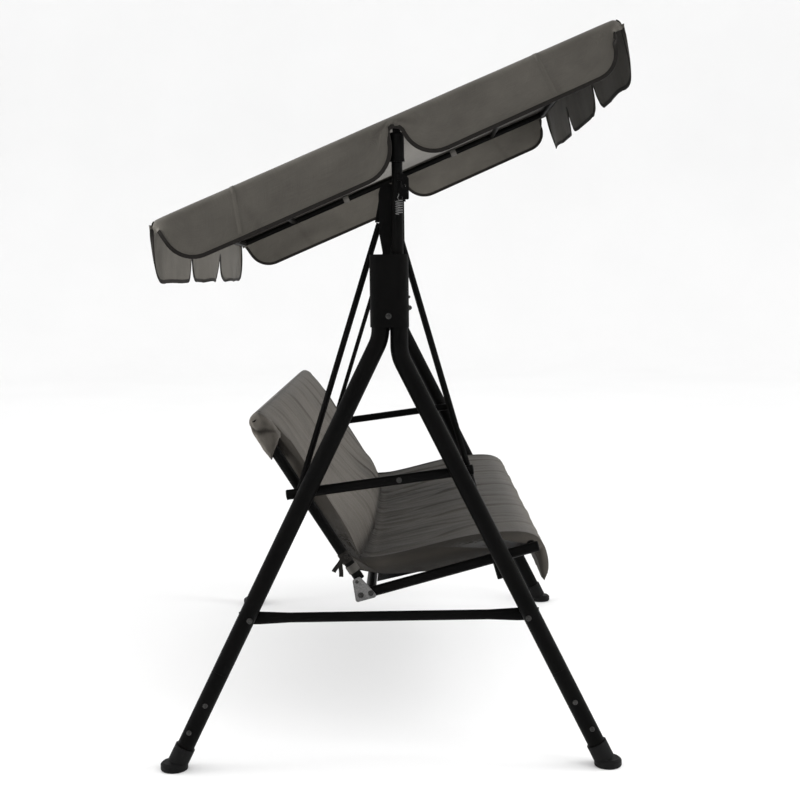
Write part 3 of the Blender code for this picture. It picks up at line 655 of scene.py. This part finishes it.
def flap_outline():
    """The lower edge of an end valance in (x, depth): three rounded flaps with slits between them."""
    third = 2 * FLAP_HALF / 3
    corners, radii = [(-FLAP_HALF + 0.017, 0.0), (-FLAP_HALF + 0.002, 0.036)], [0.1]
    for flap in range(3):
        start, stop = -FLAP_HALF + third * flap, -FLAP_HALF + third * (flap + 1)
        near, far = start + 0.003, stop - 0.003
        corners += [(near + 0.03, FLAP_DEPTH), (far - 0.03, FLAP_DEPTH)]
        radii += [0.085, 0.085]
        if flap < 2:
            corners += [(far, FLAP_SLIT), (stop + 0.003, FLAP_SLIT)]
            radii += [0.0025, 0.0025]
    corners += [(FLAP_HALF - 0.002, 0.036), (FLAP_HALF - 0.017, 0.0)]
    radii.append(0.1)
    return resample(rounded(corners, radii), 0.0075)


def flap_swell(x, depth, seed):
    """How far the flap's cloth stands out from its flat hanging plane."""
    share = depth / FLAP_DEPTH
    third = 2 * FLAP_HALF / 3
    place = ((x + FLAP_HALF) % third) / third
    curl = (abs(place - 0.5) * 2) ** 4
    waves = sin(x * 2 * pi / 0.42 + seed) + 0.9 * wander(x * 5, seed, depth * 4)
    ripple = wander(x * 40, seed + 4.0) * smooth((share - 0.7) / 0.3)
    return 0.005 * share**1.4 * waves + 0.006 * curl * share**2 + 0.0012 * ripple


def build_end_valance(word, end):
    """The valance over an end rail: three hanging flaps."""
    rail = RAILS[word]
    lean = FLAP_LEAN[word]
    down = Vector((0.0, sin(lean), -cos(lean)))
    out = Vector((0.0, end * cos(lean), end * sin(lean)))
    seed = 1.3 if word == "front" else 4.1
    outline = flap_outline()
    places = lengths(outline)
    reach = ROLL + CLOTH + 0.0008
    bend = UPWARD.angle(out)
    drawn_in = 0.987  # of the flaps' width at the top, inside the cover's corners
    grid, creases = [], []
    for place, point in zip(places, outline):
        top_x = (2 * place / places[-1] - 1) * (FLAP_HALF - 0.002)
        line = []
        for step in range(6):
            turn = Matrix.Rotation(-end * bend * (0.35 + 0.65 * step / 6), 3, "X")
            line.append(rail + X_AXIS * top_x * drawn_in + (turn @ UPWARD) * reach)
        for step in range(17):
            share = step / 16
            x, depth = top_x * drawn_in + (point.x - top_x * drawn_in) * share, point.y * share
            swell = flap_swell(x, depth, seed)
            swell += 0.01 * smooth((abs(x) - 0.6) / 0.23) * sin(pi * min(share, 1.0)) ** 0.8
            tuck = -0.004 * smooth(share * 2)
            drop = down * (depth - 0.5 * abs(swell) * share)
            line.append(rail + X_AXIS * x + out * (reach + swell + tuck) + drop)
        grid.append(line)
        # Painted shade: soft darker and paler streaks down the flaps, standing for the shading of their folds
        shades = []
        for index in range(len(line)):
            share = index / (len(line) - 1)
            shade = 0.46 + 0.14 * wander(top_x * 24, share * 1.2, seed)
            shades.append(shade + 0.09 * wander(top_x * 70, share * 1.5, seed))
        creases.append(shades)
    valance = canopy_sheet(f"{word}_valance_cloth", grid, creases)
    edge, inside = [line[-1] for line in grid[1:-1]], [line[-2] for line in grid[1:-1]]
    tape = bound_edge(f"{word}_valance_binding", edge, inside)
    for piece in (valance, tape):
        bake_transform(piece)
    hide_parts(f"{word}_valance")


# ---- Cushion ----


def crease_bulge(x):
    """How far the back cushion's foot swells forward over the seat; least at the ends."""
    return 0.044 * (1 - min(abs(x) / CUSHION_HALF, 1.0) ** 3.0)


def cushion_profile(x):
    """The cushion's section at x, as three runs of (Y, Z) points that close into a loop: the hood and the
    back's front; the crease, seat, front flap and underside; the back's rear and the hood's inside."""
    bulge = crease_bulge(x)
    top = HOOD_TOP

    def back(*places):
        points = [on_back(0.0, up, forward) for up, forward in places]
        return [Vector((point.y, point.z)) for point in points]

    front = back(
        (0.338, -0.0195), (0.39, -0.0205), (top - 0.002, -0.0195), (top + 0.01, -0.01),
        (top + 0.0135, 0.004), (top + 0.009, 0.019), (0.415, 0.03), (0.36, 0.037),
        (0.25, 0.036 + 0.15 * bulge), (0.14, 0.035 + 0.5 * bulge), (0.075, 0.033 + 0.9 * bulge),
        (0.03, 0.022 + bulge), (0.012 + 0.1 * bulge, 0.006 + 0.8 * bulge),
    )
    rear_y = front[-1].x
    seat = [(rear_y - 0.012, 0.477 - 0.22 * (rear_y - 0.06)), (-0.03, 0.492), (-0.109, 0.5115)]
    seat += [(-0.205, 0.533), (-0.295, 0.5405), (-0.345, 0.5365), (-0.369, 0.521), (-0.38, 0.49)]
    flap = [(-0.385, 0.45), (-0.378, 0.424), (-0.378, 0.418), (-0.371, 0.426), (-0.369, 0.455)]
    flap += [(-0.367, 0.488), (-0.363, 0.51), (-0.35, 0.5225), (-0.334, 0.5215)]
    under = [(-0.316, 0.507), (-0.235, 0.4875), (-0.148, 0.46), (-0.07, 0.45), (0.03, 0.4455)]
    behind = back(
        (-0.004, -0.006), (0.05, -0.01), (0.2, -0.0105), (0.33, -0.009), (0.372, 0.003),
        (0.396, 0.0145), (top - 0.01, 0.0145), (top + 0.002, 0.0075), (top + 0.0035, -0.004),
        (top - 0.008, -0.0138), (0.39, -0.0145), (0.34, -0.0145),
    )
    return front, [Vector(point) for point in seat + flap + under], behind


def section_loop(x):
    """Evenly spread points of the cushion's section at x, each with its part and place along that part."""
    front, seat, behind = cushion_profile(x)
    loop = []
    parts = (("back", front, 60), ("seat", [front[-1], *seat], 96), ("behind", behind, 46))
    for part, points, count in parts:
        line = spline(points, 6)
        fine = resample(line, lengths(line)[-1] / count)
        fine = fine[1:] if part == "seat" else fine
        for index, point in enumerate(fine):
            loop.append((part, index / (len(fine) - 1), point))
    return loop


# Each crease's place along X, slant and strength
SEAT_CREASES = [(-0.58, 0.1, 0.85), (-0.47, -0.05, 0.5), (-0.3, 0.07, 1.0), (-0.13, 0.03, 0.55)]
SEAT_CREASES += [(0.04, 0.09, 0.9), (0.19, -0.04, 0.6), (0.33, 0.06, 1.0), (0.46, 0.02, 0.6)]
SEAT_CREASES += [(0.59, 0.05, 0.9)]
BACK_CREASES = [(-0.52, 0.03, 0.6), (-0.33, -0.04, 1.0), (-0.1, 0.03, 0.7), (0.12, 0.05, 1.0)]
BACK_CREASES += [(0.31, -0.03, 0.8), (0.5, 0.04, 0.9)]
CREASE_WIDTH = 0.0065
RIM_HEIGHT, RIM_WIDTH, RIM_OFFSET = 0.0022, 0.009, 0.016  # of the raised cloth beside a crease


def fold_depth(part, place, x):
    """How far creases, gathers and soft swelling draw a point of the cushion in (negative) or out."""
    x += 0.03 * wander(x * 3.1, place * 4.5, 21.0) + 0.008 * wander(x * 11, place * 13, 25.0)
    if part == "behind":
        return 0.0006 * wander(x * 14, place * 6, 8.0)
    if part == "back":
        depth = -0.014 * smooth((place - 0.935) / 0.065)
        body = smooth((place - 0.2) / 0.12)
        for centre_x, slant, strength in BACK_CREASES:
            line = centre_x + slant * (place - 0.5) + 0.012 * wander(place * 3, centre_x * 9)
            fade = 0.45 + 0.55 * wander(place * 2.2, centre_x * 31, 2.0)
            depth -= 0.007 * strength * max(fade, 0.0) * groove(x, line, CREASE_WIDTH) * body
        # Only the last of the back's creases has a raised rim
        depth += RIM_HEIGHT * strength * max(fade, 0.0) * groove(x, line + RIM_OFFSET, RIM_WIDTH) * body
        gather = smooth((place - 0.66) / 0.34)
        depth += 0.004 * gather * wander(x * 48, place * 3, 1.0)
        depth += 0.0026 * body * wander(x * 24 + place * 2, place * 3, 6.0)
        return depth + 0.003 * body * wander(x * 5, place * 4, 3.0)
    if place > 0.56:
        return 0.0008 * wander(x * 18, place * 9, 5.0)
    depth = -0.014 * (1 - smooth(place / 0.032))
    body = smooth(place / 0.03) * (0.45 + 0.55 * smooth((0.36 - place) / 0.15))
    body *= smooth((0.56 - place) / 0.05)
    for centre_x, slant, strength in SEAT_CREASES:
        line = centre_x + slant * (place * 2 - 0.5) + 0.01 * wander(place * 7, centre_x * 9)
        fade = 0.5 + 0.7 * wander(place * 5, centre_x * 17, 9.0)
        depth -= 0.0072 * strength * max(fade, 0.0) * groove(x, line, CREASE_WIDTH) * body
        depth += RIM_HEIGHT * strength * max(fade, 0.0) * groove(x, line - RIM_OFFSET, RIM_WIDTH) * body
    gather = 0.14 + exp(-place / 0.12)
    depth += 0.0048 * gather * wander(x * 52 + place * 9, place * 5, 2.0) * body
    depth += 0.0026 * body * wander(x * 24 - place * 3, place * 6, 12.0)
    return depth + 0.0032 * body * wander(x * 5, place * 7, 7.0)


def side_round(x):
    """How full the cushion is near its two ends: 1 inside, 0 at the side seam."""
    past = max(abs(x) - (CUSHION_HALF - END_ROUND), 0.0) / END_ROUND
    return max(1 - past**2.3, 0.0) ** (1 / 2.3)


def build_cushion():
    """One padded cushion over the back and the seat, swept along X and closed at both side seams."""
    ends = [0.0, 0.0025, 0.0055, 0.009, 0.0125, 0.0165, 0.021, END_ROUND]
    inner = CUSHION_HALF - END_ROUND
    count = round(2 * inner / 0.0048)
    middle = [-inner + 2 * inner * step / count for step in range(1, count)]
    stations = [-CUSHION_HALF + end for end in ends] + middle + [CUSHION_HALF - end for end in reversed(ends)]
    points, uvs, creases = [], [], []
    for x in stations:
        loop = section_loop(x)
        flat = [Vector((point.x, point.y)) for _, _, point in loop]
        size = len(flat)
        spine = spine_of(flat)
        places = lengths([*flat, flat[0]])
        for index, (part, place, point) in enumerate(loop):
            tangent = (flat[(index + 1) % size] - flat[index - 1]).normalized()
            outward = Vector((-tangent.y, tangent.x))
            up = (Vector((0.0, *point)) - BACK_BASE).dot(BACK_UP) if part != "seat" else 0.0
            full = side_round(x)
            full += (1 - full) * smooth((up - HOOD_FOOT) / 0.03)
            depth = fold_depth(part, place, x)
            point = flat[index] + outward * depth * full
            point = spine[index] + (point - spine[index]) * full
            points.append(Vector((x, point.x, point.y)))
            uvs.append((x, places[index]))
            # Painted shade: darker towards the cushion's two ends, for the shade on its side faces
            end_painted_shade = 0.34 * smooth((abs(x) - CUSHION_HALF + 0.024) / 0.022)
            # Painted shade in the creases and painted highlight on the rims and swellings, from the fold depth,
            # less the painted shade at the ends
            creases.append(0.5 + depth / 0.0125 - end_painted_shade)
    size = len(loop)
    faces = grid_faces(len(stations), size, closed=True)
    cushion = new_object("bench_cushion", points, faces, CUSHION_CLOTH, uvs, creases)
    cushion.data.materials.append(UNDERSIDE_SHADE_CLOTH)
    # Painted shade: these faces, under the cushion and behind its back, get the near-black cloth
    under = [part == "behind" and place < 0.62 or part == "seat" and place > 0.585 for part, place, _ in loop]
    for face in cushion.data.polygons:
        if under[min(face.vertices) % size]:
            face.material_index = 1
    close_side_seams(cushion)
    corners = [build_hood_corner(side, sign) for side, sign in SIDES.items()]
    for piece in (cushion, *corners):
        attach(piece, "swing")
    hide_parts("seat_cushion", "back_cushion")


def build_hood_corner(side, sign):
    """The hood's end over the top corner of the back's tube: a snug padded sleeve of puckered cloth."""
    middle_x, half_x = 0.7185, 0.029
    foot, height, middle_forward, half_forward = HOOD_FOOT - 0.012, 0.1225, 0.0045, 0.0262
    rows, around = 30, 48
    points, uvs, creases = [], [], []
    for row in range(rows + 1):
        share = row / rows
        up = foot + height * sin(share * pi / 2) ** 0.9
        rise = (up - foot) / height
        close = (1 - max((rise - 0.5) / 0.5, 0.0) ** 3.2) ** (1 / 2.4)
        close *= 1 - 0.1 * (1 - smooth(rise / 0.12))
        for step in range(around):
            turn = 2 * pi * step / around
            bulge_x = copysign(abs(cos(turn)) ** 0.62, cos(turn))
            bulge_f = copysign(abs(sin(turn)) ** 0.62, sin(turn))
            pucker = 0.0022 * wander(turn * 2.4, rise * 5, 3.0 + sign)
            notch = -0.0055 * groove(rise - 0.58 + 0.25 * sin(turn), 0.0, 0.06)
            depth = pucker + notch * max(cos(turn), 0.0)
            reach = close + depth / half_x * close
            x = sign * (middle_x + half_x * bulge_x * reach)
            lift = (1 - rise) ** 2 * (0.018 * (1 + bulge_f) + 0.008 + 0.004 * wander(turn * 2, 5.0 + sign))
            points.append(on_back(x, up + lift, middle_forward + half_forward * bulge_f * reach))
            uvs.append((turn * half_x, up))
            # Painted shade in the puckers and the notch, painted highlight where the cloth stands out, from their
            # depth
            creases.append(0.5 + depth / 0.008)
    name, faces = f"{side}_hood_corner", tube_faces(rows + 1, around)
    made = new_object(name, points, faces, CUSHION_CLOTH, uvs, creases)
    close_side_seams(made)
    return made


def spine_of(flat):
    """For each point of a section, the point halfway between it and the nearest point of the other face."""
    size = len(flat)
    made = []
    for index, point in enumerate(flat):
        tangent = (flat[(index + 1) % size] - flat[index - 1]).normalized()
        inward = Vector((tangent.y, -tangent.x))
        best, found = 0.06, point + inward * 0.004
        for other in range(0, size, 2):
            away = flat[other] - point
            distance = away.length
            if 0.002 < distance < best and away.dot(inward) > 0.86 * distance:
                best, found = distance, point + away / 2
        made.append(found)
    for _ in range(6):
        made = [(made[i - 1] + made[i] * 2 + made[(i + 1) % size]) / 4 for i in range(size)]
    return made


def close_side_seams(piece):
    builder = bmesh.new()
    builder.from_mesh(piece.data)
    bmesh.ops.remove_doubles(builder, verts=builder.verts, dist=0.0002)
    edges = [edge for edge in builder.edges if edge.is_boundary]
    bmesh.ops.holes_fill(builder, edges=edges, sides=0)
    bmesh.ops.recalc_face_normals(builder, faces=builder.faces)
    builder.to_mesh(piece.data)
    builder.free()
    piece.data.shade_smooth()


# ---- Hardware ----


def lathe(name, profile, origin, axis, material, sides=24):
    """A turned part: profile holds (distance along the axis, radius)."""
    origin, axis = Vector(origin), Vector(axis).normalized()
    first = axis.orthogonal().normalized()
    second = axis.cross(first)
    points, uvs = [], []
    for place, radius in profile:
        for side in range(sides):
            turn = 2 * pi * side / sides
            points.append(origin + axis * place + (first * cos(turn) + second * sin(turn)) * radius)
            uvs.append((place, turn * radius))
    return face_outward(new_object(name, points, tube_faces(len(profile), sides), material, uvs))


def join(name, pieces):
    """Joins several meshes into one piece with the first one's material."""
    builder = bmesh.new()
    for piece in pieces:
        builder.from_mesh(piece.data)
    mesh = pieces[0].data
    builder.to_mesh(mesh)
    builder.free()
    for piece in pieces[1:]:
        bpy.data.objects.remove(piece)
    pieces[0].name = name
    return pieces[0]


def fastener(name, origin, axis, body, *profiles):
    """One zinc piece of turned parts on an axis; each has its profile and its number of sides."""
    parts = [
        lathe("turned", profile, origin, axis, DULL_ZINC, sides) for profile, sides in profiles
    ]
    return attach(join(name, parts), body)


def hex_bolt(name, origin, axis, body, size=0.0055, head=0.004):
    """A washer and a chamfered hexagon head seen on a surface at origin."""
    rim = size * 1.28
    washer = [(-0.0012, rim), (0.0006, rim), (0.0009, rim - 0.0003), (0.0009, size * 0.6)]
    hexagon = [(0.0008, size), (head - 0.0008, size), (head, size * 0.82)]
    hexagon += [(head, size * 0.3), (head - 0.0005, size * 0.22)]
    return fastener(name, origin, axis, body, (washer, 24), (hexagon, 6))


def nut(name, origin, axis, body, size=0.0055):
    """A washer, a hexagon nut and the end of the bolt through it."""
    thick = 0.0048
    washer = [(-0.0012, size * 1.25), (0.0009, size * 1.25), (0.0012, size * 1.2), (0.0012, size * 0.6)]
    hexagon = [(0.001, size * 0.9), (0.0015, size), (thick - 0.0005, size)]
    hexagon += [(thick, size * 0.9), (thick, size * 0.5)]
    rod = [(0.0, 0.0031), (thick + 0.0014, 0.0031), (thick + 0.002, 0.0025)]
    return fastener(name, origin, axis, body, (washer, 24), (hexagon, 6), (rod, 16))


def tube_plug(name, origin, axis, radius, body):
    """A moulded plug pressed into a tube's open end, with a low domed face."""
    profile = [(-0.01, radius * 0.86), (0.0, radius * 0.88), (0.0, radius * 1.02), (0.0012, radius * 1.03)]
    profile += [(0.0024, radius * 0.93), (0.0032, radius * 0.55), (0.0034, radius * 0.1)]
    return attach(lathe(name, profile, origin, axis, PLASTIC), body)


def build_frame_hardware(side, sign):
    leg_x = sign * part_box("left_front_leg_upper")[1].x
    screw_x = leg_x - sign * 0.0003
    bar_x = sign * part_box("left_side_crossbar")[0].x
    bracket_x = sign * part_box("left_beam_bracket")[0].x
    low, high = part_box("left_apex_collar")
    apex_y, apex_z, upright_z = -0.008, 1.071, 1.089
    bar_y, bar_z = 0.326, 0.3625
    out = X_AXIS * sign
    hex_bolt(f"{side}_apex_bolt", (sign * high.x, apex_y, apex_z), out, "frame")
    nut(f"{side}_apex_nut", (sign * low.x, apex_y, apex_z), -out, "frame")
    nut(f"{side}_upright_nut", (sign * (low.x + high.x) / 2, low.y, upright_z), -Y_AXIS, "frame")
    for word, end in ENDS.items():
        hex_bolt(f"{side}_{word}_crossbar_bolt", (leg_x, end * bar_y, bar_z), out, "frame")
        nut(f"{side}_{word}_crossbar_nut", (bar_x, end * bar_y, bar_z), -out, "frame")
        for level, y, z in (("upper", 0.435, 0.16), ("lower", 0.475, 0.095)):
            name = f"{side}_{word}_{level}_leg_screw"
            hex_bolt(name, (screw_x, end * y, z), out, "frame", size=0.0048, head=0.003)
    for word, z in (("low", 1.245), ("high", 1.302)):
        hex_bolt(f"{side}_bracket_{word}_bolt", (bracket_x, -0.031, z), -out, "frame", size=0.0052)


def build_bench_hardware(side, sign):
    plate_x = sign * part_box("left_corner_plate")[1].x
    tube_x = sign * (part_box("left_seat_side_tube")[1].x - 0.0002)
    arm_x = sign * (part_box("left_armrest")[1].x - 0.0003)
    out = X_AXIS * sign
    for word, y, z in (("rear", 0.068, 0.401), ("front", 0.044, 0.406)):
        hex_bolt(f"{side}_plate_{word}_bolt", (plate_x, y, z), out, "swing", size=0.0054, head=0.0036)
    hex_bolt(f"{side}_back_tube_bolt", (tube_x, 0.077, 0.4335), out, "swing", size=0.005)
    hex_bolt(f"{side}_armrest_bolt", (arm_x, -0.027, 0.684), out, "swing", size=0.0052)
    for word in ENDS:
        low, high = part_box(f"left_{word}_hanger")
        y = low.y + 0.0075 if word == "front" else high.y - 0.0075
        place = (sign * (low.x + 0.0002), y, low.z + 0.0085)
        nut(f"{side}_{word}_hanger_nut", place, -out, "swing", size=0.005)


def half_width(node):
    low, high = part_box(node)
    return (high.x - low.x) / 2


def build_plugs(side, sign):
    arm_radius = half_width("left_armrest")
    rail_radius = half_width("left_canopy_rail")
    arm_span = Vector((0.0, 0.437, -0.0561))  # from an armrest's front end to its rear end
    arm_way = (-arm_span).normalized()
    seat_way = Vector((0.0, -0.4255, 0.114)).normalized()
    arm = Vector((sign * ARM_X, -0.2, 0.7061))
    for word, point, way in (("front", arm, arm_way), ("rear", arm + arm_span, -arm_way)):
        tube_plug(f"{side}_armrest_{word}_plug", point, way, arm_radius, "swing")
    seat_end = Vector((sign * BACK_TUBE_X, -0.3575, 0.5128))
    tube_plug(f"{side}_seat_tube_plug", seat_end, seat_way, TUBE_RADIUS, "swing")
    for word, end in ENDS.items():
        point = on_canopy(sign * RAIL_X, RAIL_U[word] + end * rail_radius * 0.2, 0.0)
        tube_plug(f"{side}_{word}_rail_plug", point, ALONG * end, rail_radius * 0.9, "canopy")


def around_tube(middle, way, radius, start, stop, steps=20):
    """Points of a turn round a tube; 0 degrees is straight out to the side."""
    side = X_AXIS - way * X_AXIS.dot(way)
    across = way.cross(side).normalized()
    made = []
    for step in range(steps + 1):
        turn = radians(start + (stop - start) * step / steps)
        made.append(middle + side * radius * cos(turn) + across * radius * sin(turn))
    return made


def build_ties():
    """At each lower corner of the cushion, a tie knotted round the back's tube and a webbing strap."""
    radius = TUBE_RADIUS + 0.0012
    for side, sign in SIDES.items():
        pieces = []
        for number, up in enumerate((0.018, 0.034)):
            middle = on_back(sign * BACK_TUBE_X, up + 0.012, 0.0)
            loop = around_tube(middle, BACK_UP, radius, 0, 352, 30)
            pieces.append(strip(f"{side}_tie_loop_{number}", loop, BACK_UP, TIE_WIDTH, 0.0011, TAPE))
        knot_at = on_back(sign * (BACK_TUBE_X + 0.0145), 0.04, 0.004)
        knot = [(-0.006, 0.001), (-0.005, 0.0042), (-0.001, 0.0056), (0.003, 0.005), (0.006, 0.0012)]
        pieces.append(lathe(f"{side}_knot", knot, knot_at, BACK_UP, TAPE, sides=16))
        for number, (reach, drop) in enumerate(((0.02, 0.048), (0.034, 0.036))):
            path = []
            for step in range(15):
                share = step / 14
                sway = 0.004 * sin(share * 5 + number * 2)
                y = reach * sin(share * 1.5) * 0.8 + sway
                path.append(knot_at + Vector((sign * (0.002 + 0.002 * share), y, -drop * share**1.3)))
            pieces.append(strip(f"{side}_tie_tail_{number}", path, BACK_UP, TIE_WIDTH, 0.001, TAPE))
        for piece in pieces:
            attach(piece, "swing")
        turn = around_tube(on_back(sign * BACK_TUBE_X, 0.006, 0.0), BACK_UP, radius, 0, 355, 30)
        strap = strip(f"{side}_webbing_strap", turn, BACK_UP, STRAP_WIDTH, STRAP_THICK, WEBBING)
        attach(strap, "swing")
        knot_piece = pieces.pop(2)


# ---- Stage ----


def build_stage():
    """A pale round floor that curves up into a low wall far away, a white sky and five soft lamps."""
    reach, rise, height, sides = 15.0, 3.0, 5.6, 96
    profile = [(0.02, 0.0), (4.0, 0.0), (8.0, 0.0)]
    for step in range(17):
        angle = pi / 2 * step / 16
        profile.append((reach - rise + rise * sin(angle), rise - rise * cos(angle)))
    profile.append((reach, height))
    turns = [2 * pi * side / sides for side in range(sides)]
    points = []
    for distance, level in profile:
        points += [(distance * cos(turn), distance * sin(turn), level) for turn in turns]
    faces = [tuple(reversed(face)) for face in grid_faces(len(profile), sides, closed=True)]
    faces.append(tuple(range(sides)))
    made = Nodes("pale_floor")
    made.set("Base Color", made.ramp(made.noise(made.place, 0.8), [(0.3, grey(0.86)), (0.8, grey(0.88))]))
    made.set("Roughness", 0.9)
    floor = new_object("floor", points, faces, made.material)
    floor.location.z = -0.0005

    world = bpy.data.worlds.new("studio")
    world.use_nodes = True
    background = world.node_tree.nodes["Background"]
    background.inputs["Color"].default_value = (1.0, 1.0, 1.0, 1.0)
    background.inputs["Strength"].default_value = 1.18
    bpy.context.scene.world = world
    bpy.context.scene.view_settings.view_transform = "Standard"

    for name, place, target, size, power, spread in (
        ("key", (-3.4, -3.6, 4.4), (0.0, 0.0, 0.8), 2.4, 75.0, 180.0),
        ("top", (0.6, 0.2, 5.6), (0.0, 0.0, 0.8), 4.0, 25.0, 180.0),
        ("from_front", (-0.6, -3.6, 0.9), (-0.3, 0.4, 1.3), 1.6, 42.0, 70.0),
        ("from_rear", (-0.6, 3.6, 0.9), (-0.3, -0.5, 1.6), 1.6, 60.0, 60.0),
        ("canopy", (-0.62, 0.02, 1.02), (0.83, 0.02, 1.42), 0.35, 3.4, 68.0),
    ):
        light = bpy.data.lights.new(name, "AREA")
        light.size = size
        light.energy = power
        light.spread = radians(spread)
        lamp = bpy.data.objects.new(name, light)
        lamp.location = place
        lamp.visible_camera = False
        lamp.visible_glossy = False
        lamp.rotation_euler = (Vector(target) - lamp.location).to_track_quat("-Z", "Y").to_euler()
        bpy.context.scene.collection.objects.link(lamp)


def build_camera():
    """Beside the bench, a little above its middle, looking along it and slightly down."""
    yaw, pitch, roll = 0.0067, -0.0925, 0.0118
    forward = Matrix.Rotation(yaw, 3, "Z") @ X_AXIS
    right = Matrix.Rotation(yaw, 3, "Z") @ -Y_AXIS
    tip = Matrix.Rotation(pitch, 3, right)
    forward, up = tip @ forward, tip @ Z_AXIS
    twist = Matrix.Rotation(roll, 3, forward)
    right, up = twist @ right, twist @ up
    data = bpy.data.cameras.new("camera")
    data.sensor_width = 36.0
    data.lens = 59.98
    camera = bpy.data.objects.new("camera", data)
    turned = Matrix((right, up, -forward)).transposed().to_4x4()
    turned.translation = Vector((-3.8839, -0.0523, 1.1612))
    camera.matrix_world = turned
    bpy.context.scene.collection.objects.link(camera)
    bpy.context.scene.camera = camera


# ---- CAD nodes that stay ----


def finish_cad_nodes():
    """Gives each CAD node that stays its finish, and smooth shading across its round faces."""
    finishes = {
        "black_powder_coat": COAT,
        "zinc_plate": ZINC,
        "black_plastic": PLASTIC,
        "black_sling_fabric": SLING,
    }
    slots = {part["node"]: part["material_slot"] for part in frame["record"]["subparts"]}
    for name, node in frame["nodes"].items():
        finish = finishes.get(slots[name])
        if node.hide_render or not finish:
            continue
        if not node.material_slots:
            node.data.materials.append(finish)
        for slot in node.material_slots:
            slot.material = finish
        node.data.shade_smooth()
        weld = node.modifiers.new("weld", "WELD")
        weld.merge_threshold = 0.00001
        split = node.modifiers.new("sharp_edges", "EDGE_SPLIT")
        split.split_angle = radians(35)


build_camera()
build_stage()
build_cover()
build_rail_straps()
for end_word, end_sign in ENDS.items():
    build_end_valance(end_word, end_sign)
build_cushion()
for build in (build_frame_hardware, build_bench_hardware, build_plugs):
    for side_word, side_sign in SIDES.items():
        build(side_word, side_sign)
build_ties()
finish_cad_nodes()
